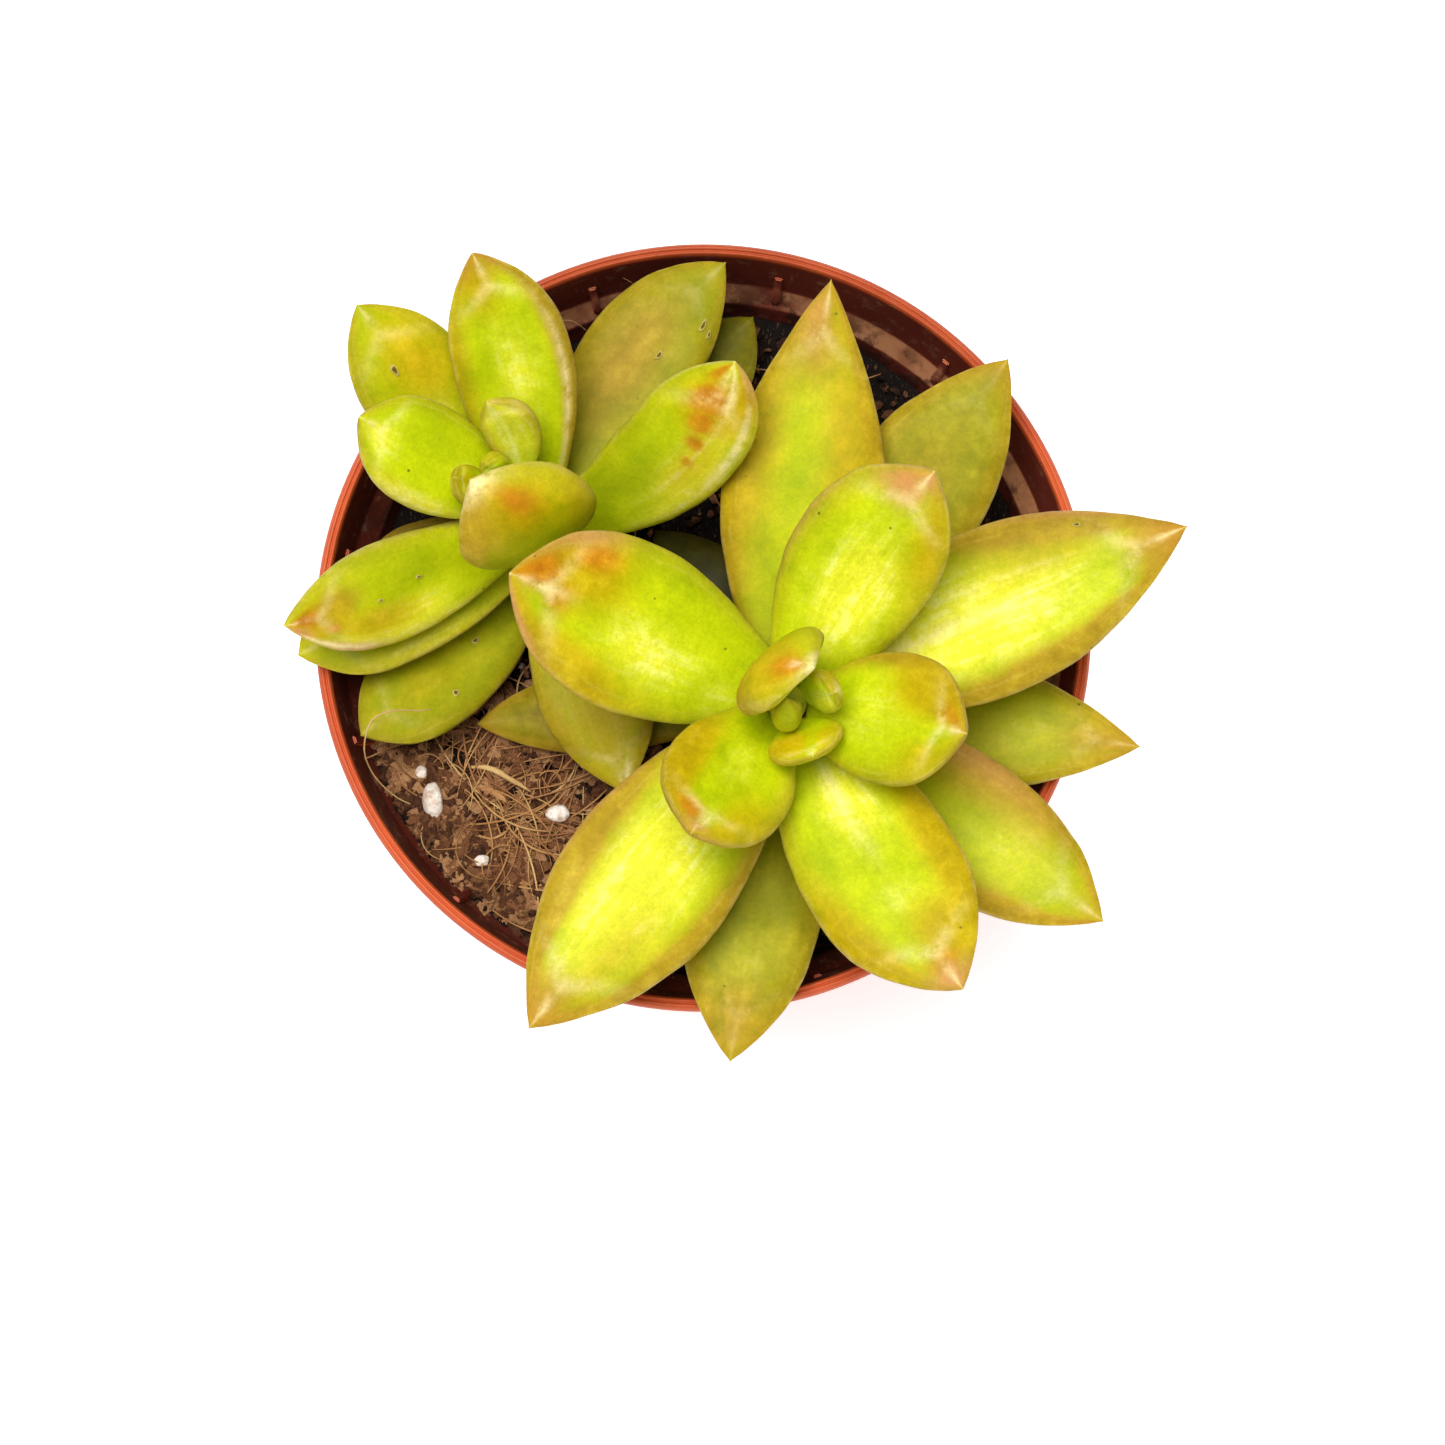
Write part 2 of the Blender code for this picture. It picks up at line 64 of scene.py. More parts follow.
class Wire:
    """A value on its way through a material's nodes. Arithmetic on it adds Math nodes."""

    def __init__(self, tree, socket=None):
        self.tree = tree
        self.socket = socket

    def node(self, kind, settings=None, sockets=None, out=0):
        """Adds a node: its settings are set first, then the values or links of its sockets."""
        made = self.tree.nodes.new(kind)
        for name, value in (settings or {}).items():
            if name == "stops":
                stops = made.color_ramp.elements
                while len(stops) < len(value):
                    stops.new(1)
                for stop, (place, colour) in zip(stops, value):
                    stop.position = place
                    stop.color = colour
            else:
                setattr(made, name, value)
        for name, value in (sockets or {}).items():
            if isinstance(value, Wire):
                self.tree.links.new(value.socket, made.inputs[name])
            else:
                made.inputs[name].default_value = value
        return Wire(self.tree, made.outputs[out])

    def maths(self, operation, *values):
        return self.node("ShaderNodeMath", {"operation": operation}, dict(enumerate(values)))

    def __add__(self, other):
        return self.maths("ADD", self, other)

    __radd__ = __add__

    def __sub__(self, other):
        return self.maths("SUBTRACT", self, other)

    def __rsub__(self, other):
        return self.maths("SUBTRACT", other, self)

    def __mul__(self, other):
        return self.maths("MULTIPLY", self, other)

    __rmul__ = __mul__

    def __truediv__(self, other):
        return self.maths("DIVIDE", self, other)

    def __abs__(self):
        return self.maths("ABSOLUTE", self)

    def coordinates(self, kind="Object"):
        return self.node("ShaderNodeTexCoord", {}, {}, kind)

    def given(self, name, out="Fac"):
        """A measure that the mesh carries at its points."""
        return self.node("ShaderNodeAttribute", {"attribute_name": name}, {}, out)

    def rise(self, low, high):
        """0 at low, 1 at high and a smooth step between. It falls where low is above high."""
        settings = {"interpolation_type": "SMOOTHSTEP"}
        sockets = {"Value": self, "From Min": low, "From Max": high}
        return self.node("ShaderNodeMapRange", settings, sockets)

    def parts(self):
        """The three numbers of a vector."""
        split = self.node("ShaderNodeSeparateXYZ", {}, {0: self})
        outputs = split.socket.node.outputs
        return [Wire(self.tree, outputs[i]) for i in range(3)]

    def stretched(self, x, y, z):
        return self.node("ShaderNodeVectorMath", {"operation": "MULTIPLY"}, {0: self, 1: (x, y, z)})

    def grain(self, size, detail=3.0, rough=0.55):
        """Cloudy noise, 0 to 1, whose lumps are about size metres across."""
        sockets = {"Vector": self, "Scale": 1 / size, "Detail": detail, "Roughness": rough}
        return self.node("ShaderNodeTexNoise", {}, sockets)

    def lit(self, strength):
        """The colour made lighter or darker."""
        return self.node("ShaderNodeVectorMath", {"operation": "SCALE"}, {0: self, "Scale": strength})

    def tint(self, share, colour):
        """The colour, mixed towards another by share."""
        return self.node("ShaderNodeMix", {"data_type": "RGBA"}, {0: share, 6: self, 7: colour}, 2)

    def ramp(self, *stops):
        return self.node("ShaderNodeValToRGB", {"stops": stops}, {0: self})

    def bump(self, strength, distance):
        return self.node("ShaderNodeBump", {}, {"Height": self, "Strength": strength, "Distance": distance})


def ink(red, green, blue):
    """A paint-chart colour, 0 to 255 each, as the light it returns."""
    shares = (red / 255, green / 255, blue / 255)
    light = [c / 12.92 if c <= 0.04045 else ((c + 0.055) / 1.055) ** 2.4 for c in shares]
    return (*light, 1)


def finish_named(name, **uniform):
    """A new material: returns it, a bare wire and what feeds a socket of its shader."""
    material = bpy.data.materials.new(name)
    material.use_nodes = True
    tree = material.node_tree
    shader = tree.nodes["Principled BSDF"]
    for socket, value in uniform.items():
        shader.inputs[socket.replace("_", " ")].default_value = value

    def feed(socket, wire):
        tree.links.new(wire.socket, shader.inputs[socket])

    return material, Wire(tree), feed


def terracotta_plastic():
    """Moulded polypropylene: satin outside, dull and stained with mix inside, with painted shade inside and
    on the back.
    """
    material, wire, feed = finish_named("terracotta_plastic", IOR=1.49, Specular_IOR_Level=0.2)
    place = wire.coordinates()
    facing = wire.coordinates("Normal")
    x, y, z = place.parts()
    out_x, out_y, up = facing.parts()
    from_axis = wire.maths("SQRT", x * x + y * y)
    inward = (0 - (x * out_x + y * out_y)) / (from_axis + 0.0001)
    flow = place.stretched(1, 1, 12).grain(0.012, 4)
    cloud = place.grain(0.006, 4)
    fine = place.grain(0.0006, 3)
    scratch = place.stretched(1, 1, 0.12).grain(0.0004, 2).rise(0.66, 0.74)
    plastic = (flow * 0.6 + cloud * 0.4).ramp(
        (0.30, ink(184, 74, 36)), (0.50, ink(202, 86, 42)), (0.72, ink(215, 100, 52)))
    inside = inward.rise(0.3, 0.7) * z.rise(0.0748, 0.0738)
    # Inside, the plastic is darkened to maroon: partly a stain from the mix and partly painted shade, darkest
    # towards the front left.
    far_side = (x * 0.6 + y * 0.8).rise(-0.028, 0.034)
    inside_stain_and_shade = far_side.ramp((0.0, ink(66, 20, 15)), (1.0, ink(108, 42, 33)))
    plastic = plastic.tint(inside * 0.92, inside_stain_and_shade)
    # Pale peach patches on up-facing surfaces below the lip, mainly the ledge, on the back (+y) side only.
    back_side = (x * 0.55 + y * 0.85).rise(-0.012, 0.024)
    pale_ledge_patches = up.rise(0.35, 0.8) * z.rise(0.071, 0.069) * cloud.rise(0.24, 0.56) * back_side
    plastic = plastic.tint(pale_ledge_patches * 0.9, ink(224, 162, 112))
    dust = place.grain(0.0022, 5, 0.7).rise(0.54, 0.72)
    plastic = plastic.tint(dust * (0.10 + 0.25 * inside), ink(196, 150, 125))
    stain = place.grain(0.0035, 5, 0.7).rise(0.46, 0.60) * z.rise(0.0690, 0.0640) * inward.rise(0.3, 0.7)
    plastic = plastic.tint(stain * 0.8, ink(58, 32, 24))
    splash = place.grain(0.0016, 5, 0.75).rise(0.655, 0.70)
    plastic = plastic.tint(splash * 0.45, ink(84, 56, 42))
    # The back (+y) of the pot is made up to 22 % darker: painted shade, as if lit from the front.
    plastic = plastic.lit((0.92 + 0.16 * fine) * (1 - 0.22 * y.rise(0.010, 0.040)))
    feed("Base Color", plastic.tint(scratch * 0.25, ink(228, 150, 120)))
    feed("Roughness", 0.34 + 0.20 * cloud + 0.22 * inside + 0.2 * scratch)
    feed("Normal", (fine * 0.5 + flow * 1.2 + scratch * 0.4).bump(0.25, 0.0001))
    return material


def rounded(profile, radius, steps=3):
    """A profile with each corner turned into a small arc."""
    bent = [profile[0]]
    for before, corner, after in zip(profile, profile[1:], profile[2:]):
        corner = Vector(corner)
        back, ahead = Vector(before) - corner, Vector(after) - corner
        reach = min(radius, 0.4 * back.length, 0.4 * ahead.length)
        start, end = corner + back.normalized() * reach, corner + ahead.normalized() * reach
        for i in range(steps + 1):
            t = i / steps
            bent.append(tuple(start * (1 - t) ** 2 + corner * 2 * t * (1 - t) + end * t**2))
    return bent + [profile[-1]]


def turned(name, profile, segments):
    """A body turned round the vertical axis from (radius, height) pairs that begin and end on it."""
    points, faces, rings = [], [], []
    for radius, height in profile:
        count = segments if radius > 0 else 1
        rings.append(range(len(points), len(points) + count))
        for k in range(count):
            angle = 2 * math.pi * k / segments
            points.append((radius * math.cos(angle), radius * math.sin(angle), height))
    for low, high in zip(rings, rings[1:]):
        for k in range(segments):
            after = (k + 1) % segments
            if len(low) == 1:
                faces.append((low[0], high[after], high[k]))
            elif len(high) == 1:
                faces.append((low[k], low[after], high[0]))
            else:
                faces.append((low[k], low[after], high[after], high[k]))
    mesh = bpy.data.meshes.new(name)
    mesh.from_pydata(points, [], faces)
    mesh.shade_smooth()
    mesh.set_sharp_from_angle(angle=math.radians(50))
    return mesh


def add_piece(name, mesh, material, stands_for=None):
    """Puts a finished mesh on the potted plant."""
    mesh.materials.clear()
    mesh.materials.append(material)
    piece = bpy.data.objects.new(name, mesh)
    bpy.context.scene.collection.objects.link(piece)
    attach(piece, "root")
    if stands_for:
        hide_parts(stands_for)


rim_radius, pot_height = 0.0425, 0.075
foot_radius, floor_top, wall = 0.0302, 0.0030, 0.0009
ledge_top, ledge_foot, collar_inside, ledge_inside = 0.0668, 0.0646, 0.0402, 0.0383
collar_foot, collar_outside = 0.0632, 0.0414
pad_radius, foot_inside, foot_rise = 0.0085, 0.0276, 0.0016
drain_holes, drain_sides, drain_radius, drain_circle = 8, 36, 0.0026, 0.0195


def wall_inside(z):
    """Inner radius of the tapered wall below the ledge."""
    foot = foot_radius - wall
    return foot + (ledge_inside - foot) * (z - floor_top) / (ledge_foot - floor_top)


pot_profile = [
    (0, 0), (pad_radius, 0), (pad_radius + 0.0008, foot_rise), (foot_inside, foot_rise),
    (foot_inside + 0.0004, 0), (foot_radius - 0.0006, 0), (foot_radius, 0.0006),
    (0.0337, 0.0280), (0.0338, 0.0283), (0.0341, 0.0286),
    (ledge_inside + wall, collar_foot - 0.0006), (collar_outside - 0.0003, collar_foot),
    (collar_outside, collar_foot + 0.0008), (rim_radius - 0.0007, pot_height - 0.0028),
    (rim_radius, pot_height - 0.0021), (rim_radius, pot_height - 0.0006), (rim_radius - 0.0004, pot_height),
    (rim_radius - 0.00072, pot_height), (rim_radius - 0.00080, pot_height - 0.00022),
    (rim_radius - 0.00092, pot_height - 0.00022), (rim_radius - 0.00100, pot_height - 0.00006),
    (rim_radius - 0.0012, pot_height - 0.00006), (rim_radius - 0.0014, pot_height - 0.0005),
    (collar_inside, ledge_top), (ledge_inside, ledge_foot), (wall_inside(0.0042), 0.0042),
    (wall_inside(floor_top) - 0.0012, floor_top), (0, floor_top),
]
plastic = terracotta_plastic()
pot_mesh = turned("pot", rounded(pot_profile, 0.0003), 192)
punch_points, punch_faces = [], []
for hole in range(drain_holes):
    angle = 2 * math.pi * (hole + 0.5) / drain_holes
    across, along = drain_circle * math.cos(angle), drain_circle * math.sin(angle)
    first = len(punch_points)
    for z in (-0.002, 0.006):
        for i in range(drain_sides):
            turn = 2 * math.pi * i / drain_sides
            spoke_x, spoke_y = drain_radius * math.cos(turn), drain_radius * math.sin(turn)
            punch_points.append((across + spoke_x, along + spoke_y, z))
    upper = first + drain_sides
    punch_faces.append([first + i for i in range(drain_sides - 1, -1, -1)])
    punch_faces.append([upper + i for i in range(drain_sides)])
    for i in range(drain_sides):
        after = (i + 1) % drain_sides
        punch_faces.append((first + i, first + after, upper + after, upper + i))
punch_mesh = bpy.data.meshes.new("drain_punch")
punch_mesh.from_pydata(punch_points, [], punch_faces)
punch = bpy.data.objects.new("drain_punch", punch_mesh)
blank = bpy.data.objects.new("pot_blank", pot_mesh)
for tool in (punch, blank):
    bpy.context.scene.collection.objects.link(tool)
cut = blank.modifiers.new("drain_holes", "BOOLEAN")
cut.operation = "DIFFERENCE"
cut.solver = "EXACT"
cut.object = punch
punched = bpy.data.meshes.new_from_object(blank.evaluated_get(bpy.context.evaluated_depsgraph_get()))
for tool in (punch, blank):
    bpy.data.objects.remove(tool)
add_piece("pot_shell", punched, plastic, "nursery_pot")

# ---------------------------------------------------------------- stacking ribs
# Twelve thin fins moulded on the ledge, which keep nested pots from jamming. They die into the
# collar wall.

rib_count, rib_start, rib_half_thick = 12, math.radians(18), 0.00045
rib_outline = [
    (0.0387, 0.0647), (0.0405, 0.0647), (0.0407, 0.0704),
    (0.0403, 0.0704), (0.0397, 0.0682), (0.0387, 0.0672),
]
rib_form = bmesh.new()
for k in range(rib_count):
    turn = Matrix.Rotation(rib_start + 2 * math.pi * k / rib_count, 4, "Z")
    corners = []
    for y in (-rib_half_thick, rib_half_thick):
        corners.append([rib_form.verts.new(turn @ Vector((r, y, z))) for r, z in rib_outline])
    rib_form.faces.new(corners[0])
    rib_form.faces.new(corners[1][::-1])
    for i in range(len(rib_outline)):
        after = (i + 1) % len(rib_outline)
        rib_form.faces.new((corners[0][after], corners[0][i], corners[1][i], corners[1][after]))
bmesh.ops.recalc_face_normals(rib_form, faces=rib_form.faces)
bmesh.ops.bevel(rib_form, geom=rib_form.edges[:], offset=0.00014, segments=2, affect="EDGES")
rib_mesh = bpy.data.meshes.new("ribs")
rib_form.to_mesh(rib_mesh)
rib_form.free()
rib_mesh.shade_smooth()
rib_mesh.set_sharp_from_angle(angle=math.radians(60))
add_piece("stacking_ribs", rib_mesh, plastic)

# ---------------------------------------------------------------- potting mix
# Loose coir: crumbs of brown pith up to 3 mm across, tangled with tan husk fibres. The bed is the
# packed mix below, and the crumbs lie on it.


bed_level = 0.0625
bank_heading = math.radians(221)


def smooth_step(low, high, value):
    t = min(max((value - low) / (high - low), 0), 1)
    return t * t * (3 - 2 * t)


def bank(x, y):
    """0 to 1 where the mix is banked up against the collar, front left."""
    aside = math.atan2(-y, -x) - (bank_heading - math.pi)
    return math.exp(-(aside / 0.42) ** 2) * smooth_step(0.0330, 0.0385, math.hypot(x, y))


def soil_height(x, y):
    """Height of the lumpy top of the bed."""
    lumps = noise.noise(Vector((x, y, 0)) * 160) + 0.5 * noise.noise(Vector((x, y, 0.02)) * 380)
    heap = 0.0011 * math.exp(-((x + 0.017) ** 2 + (y + 0.020) ** 2) / 0.013**2)
    return bed_level + 0.0006 * lumps + heap + 0.0026 * bank(x, y)


def coir_crumb():
    """Damp brown pith, darker in its pores, each crumb a little different."""
    material, wire, feed = finish_named("coir_crumb", Specular_IOR_Level=0.25)
    place = wire.coordinates()
    tone = wire.given("tone")
    cloud = place.grain(0.0012, 5, 0.65)
    fine = place.grain(0.00022, 4, 0.7)
    fibre = place.stretched(1, 0.25, 1).grain(0.00025, 3, 0.6)
    brown = (tone * 0.70 + cloud * 0.25 + fine * 0.20).ramp(
        (0.24, ink(18, 9, 5)), (0.38, ink(56, 31, 18)), (0.53, ink(106, 65, 39)),
        (0.70, ink(146, 97, 61)), (0.92, ink(194, 144, 98)))
    brown = brown.tint(fibre.rise(0.58, 0.74) * 0.35, ink(176, 130, 92))
    feed("Base Color", brown.lit(0.75 + 0.5 * fine))
    feed("Roughness", 0.80 + 0.18 * cloud)
    feed("Normal", (fine + 0.6 * fibre + cloud * 2).bump(1.0, 0.0003))
    return material


def mesh_with(name, points, faces, **measures):
    """A smooth mesh, with one number or vector at each of its points for every measure given."""
    mesh = bpy.data.meshes.new(name)
    mesh.from_pydata(points, [], faces)
    for measure, values in measures.items():
        if isinstance(values[0], (int, float)):
            mesh.attributes.new(measure, "FLOAT", "POINT").data.foreach_set("value", values)
        else:
            flat = [number for value in values for number in value]
            mesh.attributes.new(measure, "FLOAT_VECTOR", "POINT").data.foreach_set("vector", flat)
    mesh.shade_smooth()
    return mesh


def capped_rings(rings, sides, other_diagonal=False):
    """Faces of a closed skin over a first point, rings of points, and a last point. The quads are
    split into triangles along one diagonal or the other."""
    faces = []
    last = 1 + rings * sides
    for k in range(sides):
        after = (k + 1) % sides
        faces.append((0, 1 + after, 1 + k))
        for low in range(1, last - sides, sides):
            quad = (low + k, low + after, low + sides + after, low + sides + k)
            faces.append(quad[1:] + quad[:1] if other_diagonal else quad)
        faces.append((last - sides + k, last - sides + after, last))
    return faces


coir = coir_crumb()
bed_sides, bed_rings, bed_foot, bed_edge = 160, 54, 0.0033, wall_inside(bed_level) - 0.0003
bed_wall = [(0.0278, bed_foot), (0.0293, 0.0046), (bed_edge, 0.0608)]
bed_top = [(bed_edge * (1 - i / bed_rings), None) for i in range(bed_rings)]
bed_points, bed_tones = [(0, 0, bed_foot)], [0.1]
for radius, height in bed_wall + bed_top:
    for k in range(bed_sides):
        angle = 2 * math.pi * k / bed_sides
        x, y = radius * math.cos(angle), radius * math.sin(angle)
        clod = 0.0005 * noise.noise(Vector((x, y, 0.3)) * 900)
        clod += 0.0003 * noise.noise(Vector((x, y, 0.6)) * 2200)
        bed_points.append((x, y, height or soil_height(x, y) - 0.0007 + clod))
        bed_tones.append(100 * clod)
bed_points.append((0, 0, soil_height(0, 0)))
bed_tones.append(0.1)
bed = mesh_with("bed", bed_points, capped_rings(len(bed_wall + bed_top), bed_sides), tone=bed_tones)
add_piece("coir_bed", bed, coir, "coir_mix")


def pebble(subdivisions, seed, roughness):
    """Points and faces of a rough lump about 1 across."""
    form = bmesh.new()
    bmesh.ops.create_icosphere(form, subdivisions=subdivisions, radius=0.5)
    shift = Vector((seed * 7.1, seed * 3.3, 0))
    points = []
    for vertex in form.verts:
        lump = noise.noise(vertex.co * 2.1 + shift) + 0.5 * noise.noise(vertex.co * 5.3 + shift)
        points.append(vertex.co * (1 + roughness * lump))
    faces = [tuple(v.index for v in face.verts) for face in form.faces]
    form.free()
    return points, faces


stem_feet = [Vector((0.0091, -0.0063, 0)), Vector((-0.0161, 0.0085, 0))]


def from_stems(x, y):
    """Distance to the nearer stem's foot."""
    return min((Vector((x, y, 0)) - foot).length for foot in stem_feet)


draw = random.Random(12)
crumb_tries, crumb_ceiling = 7600, 0.0650
small_lumps = [pebble(1, seed, 0.75) for seed in range(5)]
large_lumps = [pebble(3, seed + 20, 0.70) for seed in range(9)]
crumb_points, crumb_faces, crumb_tones = [], [], []
for number in range(crumb_tries):
    large, banked, open_patch = number % 6 == 0, number % 12 in (0, 3, 7), number % 2 == 0
    away = 0.0365 * math.sqrt(draw.random())
    angle = draw.uniform(0, 2 * math.pi)
    if banked:
        away, angle = draw.uniform(0.0335, 0.0396), bank_heading + draw.gauss(0, 0.28)
    spot = Vector((away * math.cos(angle), away * math.sin(angle), 0))
    if open_patch and not banked:
        spot = Vector((-0.0205 + draw.gauss(0, 0.0085), -0.0195 + draw.gauss(0, 0.0085), 0))
        away = spot.length
    size = draw.uniform(0.0013, 0.0032) if large else 0.0005 + 0.0012 * draw.random() ** 2
    lump_points, lump_faces = draw.choice(large_lumps if large else small_lumps)
    turn = Euler([draw.uniform(0, 2 * math.pi) for _ in range(3)]).to_matrix()
    squeeze = Vector((draw.uniform(0.7, 1.3), draw.uniform(0.6, 1.0), draw.uniform(0.45, 0.8)))
    tone = (0.30 if large else 0.02) + 0.70 * draw.random() ** (1.1 if large else 1.8)
    furthest = 0.0401 if banked else 0.0372
    if away + size * 0.6 > furthest or from_stems(spot.x, spot.y) < 0.0034 + size / 2:
        continue
    shape = [turn @ Vector(a * b for a, b in zip(point, squeeze)) * size for point in lump_points]
    lowest, highest = min(p.z for p in shape), max(p.z for p in shape)
    on_ledge = ledge_foot + (away - ledge_inside) * 1.2 if away > ledge_inside else 0
    ground = max(soil_height(spot.x, spot.y), on_ledge)
    rest = ground - lowest - (highest - lowest) * draw.uniform(0.05, 0.55)
    rest = min(rest, crumb_ceiling + 0.0024 * bank(spot.x, spot.y) - highest)
    first = len(crumb_points)
    crumb_points += [(p.x + spot.x, p.y + spot.y, p.z + rest) for p in shape]
    crumb_faces += [tuple(first + i for i in face) for face in lump_faces]
    crumb_tones += [tone] * len(shape)
crumbs = mesh_with("crumbs", crumb_points, crumb_faces, tone=crumb_tones)
crumbs.set_sharp_from_angle(angle=math.radians(38))
add_piece("coir_crumbs", crumbs, coir)

# ---------------------------------------------------------------- husk fibres
# Stiff tan hairs from the coconut husk, 0.06 to 0.24 mm thick, lying over and through the crumbs,
# with a few split slivers of husk among them.


def husk_fibre():
    """Dry husk: tan with darker stretches along each hair."""
    material, wire, feed = finish_named("husk_fibre", Specular_IOR_Level=0.3)
    place = wire.coordinates()
    tone = wire.given("tone")
    cloud = place.grain(0.0025, 3)
    fine = place.grain(0.0003, 3, 0.65)
    tan = (tone * 0.6 + cloud * 0.4).ramp(
        (0.20, ink(92, 54, 32)), (0.42, ink(146, 96, 56)),
        (0.64, ink(182, 132, 80)), (0.92, ink(222, 190, 126)))
    feed("Base Color", tan.lit(0.8 + 0.4 * fine))
    feed("Roughness", 0.55 + 0.3 * fine)
    feed("Normal", fine.bump(0.6, 0.00005))
    return material


class Bundle:
    """Gathers round tubes that share one mesh."""

    def __init__(self):
        self.points, self.faces, self.tones = [], [], []

    def add(self, path, radius_at, tone, sides=6):
        first = len(self.points)
        for i, centre in enumerate(path):
            ahead = (path[min(i + 1, len(path) - 1)] - path[max(i - 1, 0)]).normalized()
            side = ahead.cross(Vector((0.12, 0.08, 1))).normalized()
            over = side.cross(ahead)
            for k in range(sides):
                angle = 2 * math.pi * k / sides
                spoke = side * math.cos(angle) + over * math.sin(angle)
                self.points.append(centre + radius_at(i / (len(path) - 1)) * spoke)
        for i in range(len(path) - 1):
            for k in range(sides):
                a, b = first + i * sides + k, first + i * sides + (k + 1) % sides
                self.faces.append((a, a + sides, b + sides, b))
        last = first + (len(path) - 1) * sides
        self.faces.append([first + k for k in range(sides)])
        self.faces.append([last + k for k in range(sides - 1, -1, -1)])
        self.tones += [tone] * (len(path) * sides)


def smooth_path(knots, steps):
    """A curve through given points."""
    ends = [knots[0] * 2 - knots[1]] + knots + [knots[-1] * 2 - knots[-2]]
    path = []
    for a, b, c, d in zip(ends, ends[1:], ends[2:], ends[3:]):
        for i in range(steps):
            t = i / steps
            curve = b * 2 + (c - a) * t + (a * 2 - b * 5 + c * 4 - d) * t**2
            curve += (b * 3 - a - c * 3 + d) * t**3
            path.append(0.5 * curve)
    return path + [knots[-1]]


def tapered(radius, loss, power):
    """The radius along a hair: full at its middle, and less by loss at both ends."""
    return lambda t: radius * (1 - loss * abs(2 * t - 1) ** power)


def over_bed(knots):
    """Given (x, y, height over the bed) in mm as points."""
    return [Vector((x, y, 1000 * soil_height(x / 1000, y / 1000) + over)) / 1000 for x, y, over in knots]


husk = husk_fibre()
fibres = Bundle()
draw = random.Random(31)
fibre_count, fibre_knots, fibre_ceiling = 340, 12, 0.0655
for number in range(fibre_count):
    patch = number % 4 > 0
    away = abs(draw.gauss(0, 0.0120)) if patch else 0.034 * math.sqrt(draw.random())
    angle = draw.uniform(0, 2 * math.pi)
    x, y = away * math.cos(angle), away * math.sin(angle)
    if patch:
        x, y = x - 0.0215, y - 0.0205
    length = draw.uniform(0.004, 0.015)
    heading, curl = draw.uniform(0, 2 * math.pi), draw.gauss(0, 1.5)
    thick = draw.uniform(0.00004, 0.00012)
    lift, bow = draw.uniform(0.0006, 0.0017), draw.uniform(-0.0001, 0.0008)
    tone = draw.uniform(0.2, 1.0)
    path = []
    for i in range(fibre_knots + 1):
        t = i / fibre_knots
        facing = heading + curl * t
        z = soil_height(x, y) + lift + bow * math.sin(math.pi * t)
        path.append(Vector((x, y, min(z, fibre_ceiling + 0.0022 * bank(x, y)))))
        step = length / fibre_knots
        x, y = x + step * math.cos(facing), y + step * math.sin(facing)
    clear = min(from_stems(p.x, p.y) for p in path) > 0.0038
    if max(math.hypot(p.x, p.y) - 0.0025 * bank(p.x, p.y) for p in path) < 0.0370 and clear:
        fibres.add(path, tapered(thick, 0.6, 3), tone)

# Long hairs laid over the open patch: radius, tone and (x, y, height over the bed) in mm.
LONG_HAIRS = [
    (0.11, 0.75, [
        (-22.9, -6.2, 1.2), (-24.2, -8.7, 1.5), (-25.9, -12.4, 1.8), (-26.7, -14.7, 1.6),
        (-26.9, -18.0, 0.8)]),
    (0.11, 0.60, [
        (-34.2, -14.1, 0.6), (-32.3, -16.9, 1.0), (-30.1, -19.7, 1.2), (-28.1, -21.7, 1.2),
        (-25.0, -23.3, 1.3), (-20.5, -24.0, 1.1), (-16.0, -24.2, 0.7)]),
    (0.10, 0.55, [(-33.4, -15.8, 0.6), (-31.2, -18.6, 1.3), (-29.5, -21.4, 1.2), (-28.8, -23.3, 0.6)]),
    (0.09, 0.65, [(-29.5, -15.8, 0.9), (-27.8, -18.6, 1.2), (-27.0, -20.8, 1.1), (-26.9, -22.5, 0.6)]),
    (0.09, 0.70, [(-23.3, -19.2, 0.6), (-21.6, -22.5, 1.0), (-19.9, -25.3, 0.9), (-17.7, -27.0, 0.4)]),
    (0.08, 0.80, [(-21.4, -17.5, 1.0), (-18.3, -18.6, 1.4), (-15.8, -19.9, 1.3), (-11.7, -20.3, 1.0)]),
    (0.10, 0.50, [(-11.6, -11.8, 0.8), (-14.4, -17.5, 1.3), (-16.1, -22.0, 1.2), (-20.5, -24.2, 0.8)]),
    (0.09, 0.55, [(-16.1, -19.9, 1.0), (-15.7, -23.1, 1.3), (-15.3, -27.6, 0.8)]),
    (0.09, 0.60, [(-12.7, -24.2, 0.7), (-18.2, -27.6, 1.1), (-22.7, -28.7, 0.7)]),
    (0.12, 0.75, [(-24.3, -28.6, 0.5), (-20.4, -30.6, 0.9), (-17.7, -31.3, 0.9), (-13.2, -31.0, 0.4)]),
    (0.10, 0.45, [(-25.5, -23.6, 0.8), (-23.0, -24.6, 1.3), (-20.5, -24.9, 1.2), (-17.8, -23.6, 0.9)]),
    (0.09, 0.70, [
        (-30.9, -22.6, 0.6), (-27.6, -22.4, 1.2), (-24.4, -22.9, 1.3), (-21.4, -24.6, 1.1),
        (-17.0, -25.8, 0.8)]),
    (0.08, 0.60, [(-19.6, -12.2, 0.7), (-17.9, -16.4, 1.2), (-14.6, -21.6, 1.2), (-12.6, -24.6, 0.6)]),
    (0.08, 0.65, [(-24.6, -21.4, 1.0), (-19.4, -21.0, 1.3), (-15.6, -17.8, 1.1), (-13.6, -13.6, 0.7)]),
]
for radius, tone, knots in LONG_HAIRS:
    fibres.add(smooth_path(over_bed(knots), 6), tapered(radius / 1000, 0.5, 4), tone)

